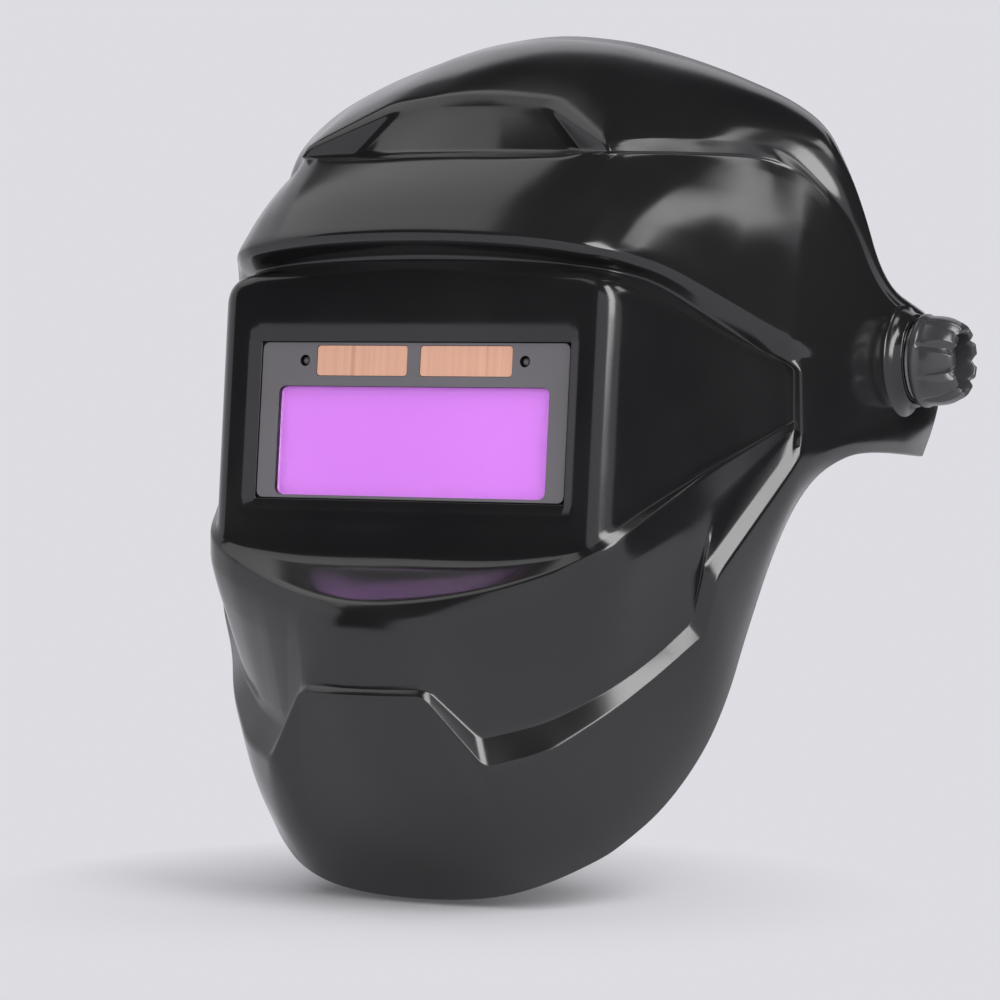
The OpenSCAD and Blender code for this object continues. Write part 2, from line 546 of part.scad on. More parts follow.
// Axis of a side rivet: x runs outwards through the band.
module at_rivet(y, z) translate([side_x(y, 0), y, z]) rotate([0, 0, side_turn(y)]) rotate([0, 90, 0])
    children();
module bracket_bores(r) for (y = [-rivet_y, rivet_y]) at_rivet(y, rivet_z) disc(r, -10, 12);
module strap_bore(r) at_rivet(0, rivet_z) disc(r, -8, 6);
module headband() color([0.09, 0.09, 0.1]) at_band() difference() {
    arc_band(-band_end, band_end, -band_t / 2, band_t / 2, -band_h / 2, band_h / 2);
    both_sides() bracket_bores(rivet_r + 0.02);
    both_sides() strap_bore(rivet_r + 0.02);
}
module pivot_bracket(side) color([0.1, 0.1, 0.11]) on_side(side) difference() {
    at_band() difference() {
        translate([0, 0, bracket_low]) linear_extrude(bracket_high - bracket_low) polygon(concat(
            [for (i = [3:-1:0]) [side_x(foot_y[i], foot_d + bracket_t), foot_y[i]]],
            [[plate_x + bracket_t, plate_y], [plate_x + bracket_t, -plate_y]],
            [for (y = foot_y) [side_x(-y, foot_d + bracket_t), -y]],
            [for (i = [3:-1:0]) [side_x(-foot_y[i], foot_d), -foot_y[i]]],
            [[plate_x, -plate_y + 1.5], [plate_x, plate_y - 1.5]],
            [for (y = foot_y) [side_x(y, foot_d), y]]));
        bracket_bores(rivet_r + 0.02);
    }
    at_pivot() disc(bolt_d / 2 + 0.03, plate_x - 2, plate_x + bracket_t + 2);
}
module left_pivot_bracket() pivot_bracket(1);
module right_pivot_bracket() pivot_bracket(-1);
module bracket_rivets() color([0.7, 0.7, 0.72]) at_band() both_sides() for (y = [-rivet_y, rivet_y])
    at_rivet(y, rivet_z) {
    disc(rivet_r, -band_t / 2 - 0.4, foot_d + bracket_t + 0.2);
    disc(rivet_head_r, -band_t / 2 - 0.3 - rivet_head_t, -band_t / 2 - 0.3);
    disc(rivet_head_r, foot_d + bracket_t + 0.15, foot_d + bracket_t + 0.15 + rivet_head_t);
}

// Padded roll: a closed loft through stations, each a ring of points.
module loft(stations) {
    n = len(stations[0]);
    m = len(stations);
    sides = [for (i = [0:m - 2]) for (j = [0:n - 1]) let (k = (j + 1) % n)
        each [[i * n + j, (i + 1) * n + j, (i + 1) * n + k], [i * n + j, (i + 1) * n + k, i * n + k]]];
    ends = [for (j = [1:n - 2]) each [[0, j, j + 1], [(m - 1) * n, (m - 1) * n + j + 1, (m - 1) * n + j]]];
    polyhedron(points = [for (r = stations) each r], faces = concat(sides, ends), convexity = 8);
}
// Share of full thickness at s along a pad: drawn in at both ends and at each stitched channel.
function pad_share(s, channels) = max(0.34, pow(1 - pow(abs(2 * s - 1), 6), 0.5))
    * (1 - 0.3 * pow(cos(180 * s * channels), 8));
// One section of a pad: flat on the back, crowned on the head side.
function pad_section(h, t) = [for (j = [0:13]) let (f = 360 * j / 14, c = sin(f))
    [t * pow((1 - cos(f)) / 2, 0.7), h / 2 * sign(c) * pow(abs(c), 0.6)]];
// The pad ends short of the bracket rivets, measured along the band.
sweat_end_room = 11.35;
sweat_span = acos(rivet_y / band_front) - sweat_end_room * 180 / (PI * band_half_w);
sweat_h = band_h + 6;
sweat_channels = 7;
module sweatband() color([0.16, 0.16, 0.17]) at_band() loft([for (i = [0:42]) let (s = i / 42,
    a = mix(sweat_span, -sweat_span, s),
    share = pad_share(s, sweat_channels))
    [for (q = pad_section(sweat_h * mix(0.9, 1, share), sweat_t * share)) let (p = band_xy(a,
        -band_t / 2 - gap - q[0])) [p[0], p[1], q[1]]]]);

// Crown straps cross at the top, the left one over the right one, and share a peg.
strap_low = -9;
strap_base = 6;
function crown_point(u, d, rise) = [(strap_x - d) * cos(u), strap_base + (rise - d) * sin(u)];
peg_shank_r = 2.5;
peg_head_r = 5;
peg_head_t = 1.6;
module crown_strap(side, rise, past) on_side(side) difference() {
    translate([0, crown_w / 2, 0]) rotate([90, 0, 0]) linear_extrude(crown_w) polygon(concat(
        [[strap_x - strap_t, strap_low], [strap_x, strap_low]],
        [for (i = [0:30]) crown_point(mix(0, past, i / 30), 0, rise)],
        [for (i = [30:-1:0]) crown_point(mix(0, past, i / 30), strap_t, rise)]));
    disc(peg_shank_r + 0.1, rise - 12, rise + 20);
    strap_bore(rivet_r + 0.02);
}
under_rise = crown_rise - strap_t - gap;
module crown_strap_left() color([0.1, 0.1, 0.11]) at_band() crown_strap(1, crown_rise, 102);
module crown_strap_right() color([0.1, 0.1, 0.11]) at_band() crown_strap(-1, under_rise, 102);
module crown_peg() color([0.12, 0.12, 0.12]) at_band() {
    disc(peg_shank_r, strap_base + under_rise - strap_t - 1.5, strap_base + crown_rise + 0.5);
    disc(peg_head_r, strap_base + crown_rise + 0.1, strap_base + crown_rise + 0.1 + peg_head_t);
}
module strap_rivets() color([0.7, 0.7, 0.72]) at_band() both_sides() at_rivet(0, rivet_z) {
    disc(rivet_r, -band_t / 2 - strap_gap - strap_t - 0.3, band_t / 2 + 0.3);
    disc(rivet_head_r, -band_t / 2 - strap_gap - strap_t - 0.15 - rivet_head_t,
        -band_t / 2 - strap_gap - strap_t - 0.15);
    disc(rivet_head_r, band_t / 2 + 0.15, band_t / 2 + 0.15 + rivet_head_t);
}

// Pivot bolts with their washers, and the tension knobs that clamp the shell.
head_r = 10;
head_t = 5;
thread_reach = 9;
thread_end = knob_x + thread_reach;
module pivot_bolt(side) color([0.2, 0.2, 0.21]) on_side(side) at_pivot() {
    disc(head_r, plate_x - 0.05 - head_t, plate_x - 0.05);
    disc(bolt_d / 2, plate_x - 1, boss_out + 0.2);
    disc(thread_d / 2, boss_out, thread_end);
}
module left_pivot_bolt() pivot_bolt(1);
module right_pivot_bolt() pivot_bolt(-1);
// Tabs of the stop washer stand at both ends of the peg's travel.
tab_half = 2.3;
tab_turn = asin((peg_r + tab_half + 0.1) / (peg_reach - peg_r));
module stop_washer(side) color([0.55, 0.56, 0.58]) on_side(side) at_pivot() difference() {
    union() {
        disc(washer_r, stop_x, stop_x + stop_t);
        for (a = [peg_angle + tab_turn, peg_angle - lift_angle - tab_turn]) rotate([0, 0, a])
            translate([0, -tab_half, stop_x]) cube([peg_reach + 1.5, 2 * tab_half, stop_t]);
    }
    disc(bolt_d / 2 + 0.08, stop_x - 1, stop_x + stop_t + 1);
}
module left_stop_washer() stop_washer(1);
module right_stop_washer() stop_washer(-1);
module friction_washer(side) color([0.3, 0.28, 0.26]) on_side(side) at_pivot()
    ring(washer_r, bolt_d / 2 + 0.08, friction_x, friction_x + friction_t);
module left_friction_washer() friction_washer(1);
module right_friction_washer() friction_washer(-1);
module knob_washer(side) color([0.7, 0.7, 0.72]) on_side(side) at_pivot()
    ring(knob_base_r - 2, thread_d / 2 + 0.1, boss_out + 0.3, boss_out + 1.3);
module left_knob_washer() knob_washer(1);
module right_knob_washer() knob_washer(-1);
insert_r = thread_d / 2 + 2;
insert_len = 6;
knob_floor = 6.6;
flange_rim = 2.2;
belly_share = 0.5;
shoulder = 0.9;
flute_r = 4.4;
flute_lean = atan((knob_base_r - knob_end_r) / (knob_len - flange_rim));
module tension_knob(side) color([0.13, 0.13, 0.14]) on_side(side) at_pivot() translate([0, 0, knob_x])
    difference() {
    rotate_extrude() polygon([[insert_r + 0.02, 0], [knob_base_r, 0], [knob_base_r, flange_rim - 0.6],
        [knob_base_r - 0.6, flange_rim], [knob_belly_r, mix(flange_rim, knob_len, belly_share)],
        [knob_end_r + shoulder, knob_len - 1.6], [knob_end_r - 0.4, knob_len - 0.2],
        [knob_end_r - 0.9, knob_len], [knob_hollow_r, knob_len], [knob_hollow_r - 0.6, knob_floor],
        [insert_r + 0.02, knob_floor]]);
    for (i = [0:flutes - 1]) rotate([0, 0, 360 * i / flutes])
        translate([knob_base_r + flute_r - 1.6, 0, flange_rim])
        rotate([0, -flute_lean, 0]) disc(flute_r, 0, knob_len + 4);
}
module left_tension_knob() tension_knob(1);
module right_tension_knob() tension_knob(-1);
module knob_insert(side) color([0.75, 0.6, 0.3]) on_side(side) at_pivot()
    ring(insert_r, thread_d / 2 + 0.05, knob_x + 0.2, knob_x + 0.2 + insert_len);
module left_knob_insert() knob_insert(1);
module right_knob_insert() knob_insert(-1);

// Rear cradle: the ratchet housing draws in the two rear straps over its pinion.
house_y = band_back - 10;
house_wall = 2;
house_back = house_y + house_t;
rack_t = strap_t;
rack_y = house_y + house_wall + 2.2;
rack_near = pinion_r + 0.3;
rack_h = 4;
slot_h = strap_h + 5;
strap_d = band_t / 2 + gap + strap_t / 2;
strap_start = 116;
strap_turn = 155;
cavity_w = house_w - 18;
wheel_r = 7;
shaft_r = 4;
module rear_strap(side) color([0.1, 0.1, 0.11]) on_side(side) at_band() {
    arc_band(strap_start, strap_turn, strap_d - strap_t / 2, strap_d + strap_t / 2, -strap_h / 2,
        strap_h / 2);
    join = band_xy(strap_turn, strap_d);
    translate([0, 0, -strap_h / 2]) linear_extrude(strap_h) polygon([band_xy(strap_turn - 0.5,
        strap_d - strap_t / 2),
        band_xy(strap_turn - 0.5, strap_d + strap_t / 2), [house_w / 2 - 5,
            rack_y + rack_t], [house_w / 2 - 5, rack_y]]);
    z = side > 0 ? rack_near : -rack_near - rack_h;
    translate([-cavity_w / 2 + 2, rack_y, z]) cube([cavity_w / 2 - 2 + house_w / 2 - 4, rack_t, rack_h]);
}
module rear_strap_left() rear_strap(1);
module rear_strap_right() rear_strap(-1);
// Axis of the ratchet: z runs to the rear.
module at_ratchet() rotate([-90, 0, 0]) children();
cover_y = house_back + 0.1;
plate_back = 2;
house_screw_x = house_w / 2 - 4.5;
house_screw_z = house_h / 2 - 4;
post_z = -11;
module at_house_screws() for (x = [-house_screw_x, house_screw_x]) for (z = [-house_screw_z,
    house_screw_z]) translate([x, z, 0]) children();
module ratchet_housing() color([0.1, 0.1, 0.11]) at_band() {
    difference() {
        at_ratchet() plate(house_w, house_h, 6, house_y, house_back);
        at_ratchet() plate(cavity_w, house_h - 2 * house_wall, 2, house_y + house_wall, house_back + 1);
        translate([-house_w, rack_y - 3, -slot_h / 2]) cube([2 * house_w, rack_t + 4.6, slot_h]);
        at_ratchet() at_house_screws() disc(1.2, house_back - 7, house_back + 1);
        at_ratchet() disc(2.05, house_y + 0.8, house_back);
    }
    for (x = [-16, 16]) translate([x, 0, post_z]) at_ratchet() disc(1.6, house_y + house_wall - 0.5,
        house_back - 0.6);
}
module ratchet_cover() color([0.12, 0.12, 0.13]) at_band() at_ratchet() difference() {
    plate(house_w, house_h, 6, cover_y, cover_y + plate_back);
    disc(shaft_r + 0.05, cover_y - 1, cover_y + plate_back + 1);
    at_house_screws() disc(1.35, cover_y - 1, cover_y + plate_back + 1);
}
module housing_screws() color([0.6, 0.6, 0.62]) at_band() at_ratchet() at_house_screws() {
    disc(1.17, house_back - 6, cover_y + plate_back + 0.05);
    disc(2.4, cover_y + plate_back + 0.05, cover_y + plate_back + 1.4);
}
pinion_teeth = 12;
wheel_teeth = 24;
dial_y = cover_y + plate_back + 1.6;
module ratchet_pinion() color([0.75, 0.74, 0.7]) at_band() at_ratchet() difference() {
    union() {
        disc(2, house_y + 1.2, house_y + house_wall + 0.5);
        disc(pinion_r, house_y + house_wall + 0.3, house_back - 3);
        disc(wheel_r, house_back - 3.1, house_back - 0.8);
        disc(shaft_r, house_back - 1, dial_y + 7);
    }
    for (i = [0:pinion_teeth - 1]) rotate([0, 0, 360 * i / pinion_teeth]) translate([pinion_r + 0.1, 0,
        0]) disc(0.7, house_y, house_back - 3.1);
    for (i = [0:wheel_teeth - 1]) rotate([0, 0, 360 * i / wheel_teeth - 90]) translate([wheel_r + 0.1, 0,
        0]) disc(0.5, house_back - 3.2, house_back);
}
dial_grips = 14;
dial_bore = 7.1;
dial_taper = 1;
grip_r = 2.6;
grip_depth = 1.6;
module ratchet_knob() color([0.13, 0.13, 0.14]) at_band() at_ratchet() translate([0, 0, dial_y])
    difference() {
    rotate_extrude() polygon([[0, 0], [dial_r - dial_taper, 0], [dial_r, dial_taper],
        [dial_r - dial_taper, dial_len - 1.5], [dial_r - dial_taper - 1.5, dial_len], [0, dial_len]]);
    disc(shaft_r + 0.02, -1, dial_bore);
    for (i = [0:dial_grips - 1]) rotate([0, 0, 360 * i / dial_grips])
        translate([dial_r + grip_r - grip_depth, 0, 0]) disc(grip_r, 1.5, dial_len + 1);
}
// Leaf spring that clicks into the wheel, held on the two posts of the housing.
spring_r = 1.65;
module detent_spring() color([0.6, 0.61, 0.63]) at_band() at_ratchet() {
    for (x = [-16, 16]) translate([x, -post_z, 0]) ring(spring_r + 0.8, spring_r, house_back - 2.9,
        house_back - 1);
    translate([0, 0, house_back - 2.9]) linear_extrude(1.9) polygon([[-14, -post_z - 0.4], [-3,
        wheel_r + 1.2], [0, wheel_r + 0.15],
        [3, wheel_r + 1.2], [14, -post_z - 0.4], [14, -post_z + 0.4], [3, wheel_r + 2], [0,
            wheel_r + 1], [-3, wheel_r + 2], [-14, -post_z + 0.4]]);
}
nape_w = 62;
nape_h = 34;
nape_t = 9;
module nape_pad() color([0.16, 0.16, 0.17]) at_band() loft([for (i = [0:32]) let (s = i / 32,
    share = pad_share(s, 4))
    [for (q = pad_section(nape_h * mix(0.86, 1, share), nape_t * share)) [mix(-nape_w / 2, nape_w / 2, s),
        house_y - gap - q[0], q[1]]]]);

shell();
filter_front();
filter_back();
filter_gasket();
cover_lens();
filter_glass();
liquid_crystal_cell();
solar_cells();
arc_sensors();
circuit_board();
filter_battery();
inner_cover_lens();
filter_retainer();
retainer_screws();
headband();
sweatband();
left_pivot_bracket();
right_pivot_bracket();
bracket_rivets();
left_pivot_bolt();
right_pivot_bolt();
left_stop_washer();
right_stop_washer();
left_friction_washer();
right_friction_washer();
crown_strap_left();
crown_strap_right();
crown_peg();
strap_rivets();
left_tension_knob();
right_tension_knob();
left_knob_insert();
right_knob_insert();
left_knob_washer();
right_knob_washer();
rear_strap_left();
rear_strap_right();
ratchet_housing();
ratchet_cover();
housing_screws();
ratchet_pinion();
ratchet_knob();
detent_spring();
nape_pad();
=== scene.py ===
# %% [markdown]
# # A welding helmet with an auto-darkening filter
# The helmet is a thin black shell that turns on a padded headgear. The imported solids are the
# frame: they say where every piece is and what moves. This lesson dresses them. We load the
# frame first.

# %% Load the frame
import math
import bmesh
import bpy
import numpy as np
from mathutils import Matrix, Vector


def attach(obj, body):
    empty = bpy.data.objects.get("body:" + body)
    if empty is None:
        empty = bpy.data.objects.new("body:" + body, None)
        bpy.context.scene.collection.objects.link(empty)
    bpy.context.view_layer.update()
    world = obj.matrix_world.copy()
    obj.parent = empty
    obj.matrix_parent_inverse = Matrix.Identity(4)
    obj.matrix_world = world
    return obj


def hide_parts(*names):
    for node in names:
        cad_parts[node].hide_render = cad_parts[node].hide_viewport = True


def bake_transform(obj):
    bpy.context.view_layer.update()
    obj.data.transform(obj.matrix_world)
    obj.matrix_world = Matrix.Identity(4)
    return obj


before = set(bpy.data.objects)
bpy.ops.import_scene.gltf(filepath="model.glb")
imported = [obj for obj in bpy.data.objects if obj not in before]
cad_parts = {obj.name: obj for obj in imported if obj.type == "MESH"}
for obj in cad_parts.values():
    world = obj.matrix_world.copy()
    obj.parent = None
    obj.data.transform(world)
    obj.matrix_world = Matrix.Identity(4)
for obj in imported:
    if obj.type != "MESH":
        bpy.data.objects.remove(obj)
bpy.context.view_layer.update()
MM = 0.001

# %% [markdown]
# ## Camera
# The photograph was taken with a long lens from a little above the pivot, 27 degrees round to
# the wearer's left. A long lens keeps the far side of the mask almost as large as the near side,
# so the distance matters as much as the angle. Lamps will be aimed in the same way.

# %% Camera
CAMERA_AT, CAMERA_LENS = (0.5885, -1.2317, 0.0150), 147.6
CAMERA_TURN, CAMERA_RISE = 27.0, 2.6


def heading(turn, rise):
    """Unit vector at a turn from the front towards +X and a rise above the floor, in degrees."""
    t, r = math.radians(turn), math.radians(rise)
    return np.array([math.sin(t) * math.cos(r), -math.cos(t) * math.cos(r), math.sin(r)])


def add_object(name, data):
    """New object in the scene."""
    made = bpy.data.objects.new(name, data)
    bpy.context.scene.collection.objects.link(made)
    return made


def add_aimed(name, data, at, look):
    """New object at a point, with its -Z axis along the look vector."""
    made = add_object(name, data)
    made.location = at
    made.rotation_euler = Vector(look).to_track_quat("-Z", "Y").to_euler()
    return made


lens = bpy.data.cameras.new("photo_camera")
lens.lens, lens.sensor_width, lens.clip_end = CAMERA_LENS, 36.0, 20.0
camera = add_aimed("photo_camera", lens, CAMERA_AT, -heading(CAMERA_TURN, CAMERA_RISE))
bpy.context.scene.camera = camera
print("camera at", tuple(round(v, 3) for v in camera.location))

# %% [markdown]
# ## From arrays to meshes
# Every new piece below is a surface: an array of points with one row for each step of one
# parameter and one column for each step of the other. One helper turns such arrays into a mesh.
# A surface may close on itself along rows or columns, and cells can be left out to make openings.

# %% Grid helper
def quad_faces(rows, cols, close_rows=False, close_cols=False, start=0):
    """Corner numbers of the cells between neighbouring points of a rows x cols grid."""
    i = np.arange(rows if close_rows else rows - 1)[:, None]
    j = np.arange(cols if close_cols else cols - 1)[None, :]
    a = i * cols + j
    b = i * cols + (j + 1) % cols
    c = ((i + 1) % rows) * cols + (j + 1) % cols
    d = ((i + 1) % rows) * cols + j
    return np.stack([a, b, c, d], -1).reshape(-1, 4) + start


def mesh_object(name, points, quads, triangles=None, smooth=True):
    """One object at the origin from points in metres, quads and optional triangles."""
    faces = quads.tolist() + ([] if triangles is None else triangles.tolist())
    mesh = bpy.data.meshes.new(name)
    mesh.from_pydata(np.asarray(points, float).reshape(-1, 3).tolist(), [], faces)
    mesh.polygons.foreach_set("use_smooth", np.full(len(faces), smooth))
    mesh.update()
    return add_object(name, mesh)


def mix(a, b, t):
    """Value a share t of the way from a to b."""
    return a + (b - a) * t


print("helpers ready")

# %% [markdown]
# ## The shell's styling lines
# The shell is one moulding, so it is drawn as one net of rows from the dome rim down to the chin
# rim. The lines are the ones a stylist would draw on the photograph: the edge of the dome, the
# crease above the brow, the brow's lip, the jaw ledge and the step of the chin guard. Each point
# is [across, forward, up] in millimetres, from the middle of the face to the back of the ear.

# %% Styling lines
rim_top = np.array([[0, 33.5, 105.5], [22, 34, 103], [34, 34, 100.3], [46, 33.5, 96.7], [52, 33, 94.6],
    [60, 32.3, 91.6], [67, 31.5, 88.6], [74.5, 30, 85.2], [81.5, 28.5, 81.3], [89, 28, 75.9],
    [95.5, 30.5, 68.9], [104.5, 32.5, 51], [106.5, 17, 24], [107, -16, 15.5]])
dome_edge = np.array([[0, 98, 84.5], [29.5, 93.7, 81.2], [52, 107.5, 67.5], [56.5, 98.5, 68.4], [61, 89, 69],
    [66, 80.5, 69], [71, 73, 68.8], [76.5, 63.5, 68.5], [80, 58, 68], [85, 52, 66.5],
    [91.5, 46, 61], [102.5, 38, 46], [106.3, 20, 20], [107, -20, 11.5]])
crease = np.array([[0, 121, 63], [32, 117.5, 63], [53, 108.2, 63.3], [58.5, 98, 63.5], [62, 91.5, 63.6],
    [67.5, 82.5, 63.6], [73, 72.5, 63.6], [79, 61.5, 63.4], [83, 56.5, 62.5], [88, 53, 60.5],
    [94, 46.5, 56], [103.2, 40, 43], [106.5, 22, 17], [107, -23, 8]])
lip = np.array([[0, 145, 40], [25, 143.7, 39.3], [44, 139.8, 37.7], [55.5, 136.5, 36], [60, 134, 35.3],
    [66.5, 127.8, 33.8], [74, 114, 30.3], [83, 98, 22], [87, 91, 18.2], [95.5, 76, 9.8],
    [99.7, 70, 6.4], [105, 45, 6], [107, 15, 4], [107, -29, 0]])
ledge_edge = np.array([[0, 166.8, -71], [18, 162.2, -69.8], [35, 156, -67], [51.5, 149.5, -62.2],
    [59, 147, -59], [70, 140, -53.3], [75, 124.5, -44.8], [81.3, 110, -36], [84.3, 103, -31.8],
    [96.3, 66.5, -18]])
jaw = np.array([[0, 169.9, -77], [19, 165.3, -76.2], [35, 158.7, -74], [51.2, 151, -70.5], [58.8, 146.9, -68],
    [70.8, 138.3, -63.5], [77.5, 122.2, -56], [83.5, 105, -49], [85.5, 96.5, -42], [96.3, 66.5, -21]])
strip_top = np.array([[0, 169.6, -96.3], [20.9, 165.2, -96], [32.6, 155.5, -110.1], [47, 144, -106.6],
    [53, 138.5, -103.5], [62.5, 130, -97.6], [71.5, 118.5, -88.8], [80.3, 107, -77.3],
    [83.7, 106, -61.5], [97, 69.5, -26]])
strip_low = np.array([[0, 172.2, -98.1], [21.1, 168.5, -97.9], [37.1, 158.2, -120.1], [50.6, 149.8, -116],
    [57.1, 142.2, -110.9], [66.8, 130.4, -102.5], [75.7, 115.2, -92], [84.1, 105.7, -82],
    [87.6, 104.9, -64.4], [98.3, 74, -33.7], [99.9, 68.5, -28], [105.5, 46, -23], [107, 14, -20],
    [107, -29.5, -15]])
rim_low = np.array([[0, 134, -163.5], [24.7, 132.6, -162.2], [41.5, 129.8, -157.4], [55.5, 119.5, -149.8],
    [60.5, 114.5, -145.6], [70, 104, -135], [78.5, 93.5, -118.5], [84, 87.5, -101.3], [87.6, 83.5, -84],
    [93, 71, -54], [98, 58, -36.5], [105.2, 44.7, -28.5], [106.8, 19.7, -28], [107, -16, -30.5]])
pocket_top = np.array([[0, 100, 78.5], [26.5, 96.5, 78.4], [52.6, 108.6, 65.8]])
pocket_foot = np.array([[0, 113, 64.8], [39.5, 99.5, 64.5], [53.4, 109.4, 64.2]])
foot_z = np.array([-60.5, -60.3, -59.3, -56.5, -55.5, -52.5, -44.5, -35.8, -31.7, -17.8])
print("lines of", len(rim_top), "points")

# %% [markdown]
# ## The shell's control net
# Between the drawn lines lie the window block's rows. The block is a flat face that leans back by
# six degrees, a corner and a straight side, so its points are worked out from the window's own
# sizes. Rows that bulge are pushed out from the middle of the head.

# %% Control net
FACE_REACH, FACE_LEAN, WINDOW_Z = 139.0, math.radians(6.0), -17.6
WINDOW_W, WINDOW_H, BORDER_W, BORDER_DEPTH, LIP_WALL = 106.5, 49.0, 3.4, 2.2, 1.4
SHELL_WALL, CORNER_X, EAR_X = 2.6, 65.7, 107.0
# Columns counted from the middle: the opening's edge, the block's corner, the frame and the last one.
OPEN_K, CORNER_K, FRAME_K, LAST_K = 3, 5, 10, 13
FACE_X = [0, 18, 36, WINDOW_W / 2, WINDOW_W / 2 + BORDER_W, CORNER_X]
BLOCK_TOP, CORNER_TOP, SIDE_TOP = WINDOW_Z + 44.1, WINDOW_Z + 42.3, -1.5
SIDE_SHARE = np.array([0.19, 0.46, 0.57, 1.0])
RIDGE_X, RIDGE_FORWARD = 96.3, 66.5
HEAD_MIDDLE, EAR_BULGE, STEP_OUT = np.array([0, 20, 10]), 0.2, 0.8


def face_forward(z):
    """Forward reach of the leaning face at height z."""
    return FACE_REACH - (z - WINDOW_Z) * math.tan(FACE_LEAN)


def bulged(row, d):
    """Row pushed out from the middle of the head by d, a fifth of it behind the frame."""
    away = row - HEAD_MIDDLE
    away /= np.linalg.norm(away, axis=1)[:, None]
    return row + away * (d * np.where(np.arange(len(row)) > FRAME_K, EAR_BULGE, 1.0))[:, None]


def to_ear(front, t):
    """Row drawn as far as the frame, then led over the ear a share t below the brow's lip."""
    return np.concatenate([front, mix(lip[FRAME_K:], strip_low[FRAME_K:], t)])


def step_row(front, t):
    """Drawn over the forehead recess, then a share t down the step between dome and brow."""
    k = np.arange(len(front), LAST_K + 1)
    rest = mix(dome_edge[k], crease[k], t)
    rest[:, 0] += np.where(k < FRAME_K, STEP_OUT * t, 0)
    return np.concatenate([front, rest])


def block_row(z, t, inset=0.0):
    """Points of the window block at heights z: flat face, corner, straight side, then the ear."""
    across = np.concatenate([FACE_X, mix(CORNER_X, RIDGE_X, SIDE_SHARE)])
    forward = face_forward(z)
    forward[CORNER_K + 1:] = mix(forward[CORNER_K + 1:], RIDGE_FORWARD, SIDE_SHARE)
    forward[:OPEN_K + 1] -= inset
    return to_ear(np.stack([across, forward, z], 1), t)


top_z = np.concatenate([np.full(CORNER_K, BLOCK_TOP), [CORNER_TOP], mix(CORNER_TOP, SIDE_TOP, SIDE_SHARE)])


def window_heights(z, share):
    """The window's own height on the face, a share of the block's height on its side."""
    return np.where(np.arange(FRAME_K) < CORNER_K, z, mix(top_z, foot_z, share))


print("block from", BLOCK_TOP, "down to", foot_z[0], "mm")

# %% [markdown]
# Under the brow's lip the plastic turns in to a groove, which is deep over the face and runs out towards
# the ear. With those two rows the net is complete on one side, and the other side is its mirror image.

# %% Whole net
UNDER_MIDDLE, UNDER_SIDE, UNDER_EAR = np.array([[0, -1.8, -3.2], [-2.6, -1.2, -3.2], [0, 0, -2.6]])
GROOVE_IN, GROOVE_TAPER, GROOVE_DOWN = -6.5, -2.6, -6.8
GROOVE_DEEP, GROOVE_SHALLOW, GROOVE_RISE = -13.5, -2.0, 2.2
ear_share = lip[:, :1] / EAR_X
side_share = ear_share ** 3
ahead = np.arange(LAST_K + 1)[:, None] < FRAME_K
under_row = lip + np.where(ahead, mix(UNDER_MIDDLE, UNDER_SIDE, side_share), UNDER_EAR)
groove_shift = np.concatenate([GROOVE_IN * side_share + GROOVE_TAPER * ear_share,
                               mix(GROOVE_DEEP, GROOVE_SHALLOW, np.minimum(1, GROOVE_RISE * side_share)),
                               np.full_like(side_share, GROOVE_DOWN)], 1)
groove_row = to_ear((lip + groove_shift)[:FRAME_K], 0.17)
open_top, open_low = WINDOW_Z + WINDOW_H / 2, WINDOW_Z - WINDOW_H / 2
half_net = np.stack([
    rim_top, bulged(mix(rim_top, dome_edge, 0.33), 3.2), bulged(mix(rim_top, dome_edge, 0.7), 3.0),
    dome_edge, step_row(pocket_top, 0.4), step_row(pocket_foot, 0.85), crease,
    bulged(mix(crease, lip, 0.5), 2.2), lip, under_row, groove_row,
    block_row(top_z, 0.25),
    block_row(window_heights(open_top + BORDER_W, 0.18), 0.33),
    block_row(window_heights(open_top, 0.25), 0.42, BORDER_DEPTH),
    block_row(window_heights(open_low, 0.8), 0.5, BORDER_DEPTH),
    block_row(window_heights(open_low - BORDER_W, 0.86), 0.58),
    block_row(foot_z, 0.67),
    to_ear(ledge_edge, 0.75), to_ear(jaw, 0.83), to_ear(strip_top, 0.92), strip_low,
    bulged(mix(strip_low, rim_low, 0.45), 2.0), rim_low])
ROWS, COLS = half_net.shape[0], 2 * LAST_K + 1
right_half = (half_net * [-1, 1, 1])[:, :0:-1]
net = np.concatenate([right_half, half_net], 1) * [1, -1, 1]
# Rows that later cells name.
LIP_ROW, UNDER_ROW, BLOCK_ROW, OPEN_TOP_ROW, OPEN_LOW_ROW, FOOT_ROW, STRIP_ROW = 8, 9, 11, 13, 14, 16, 20
print("control net", net.shape)

# %% [markdown]
# ## Rounding the net
# Each corner of the net becomes a short parabola between points a share of the way to its
# neighbours. A share of one half gives a smooth surface, a small share a crisp moulded edge, so one
# table of shares says where the plastic is soft and where it is sharp.

# %% Rounding shares
row_round = np.array([0, 0.5, 0.5, 0.2, 0.25, 0.14, 0.2, 0.5, 0.2, 0.25, 0.35, 0.42, 0.3, 0.03, 0.03, 0.3,
                      0.3, 0.16, 0.32, 0.14, 0.14, 0.5, 0])
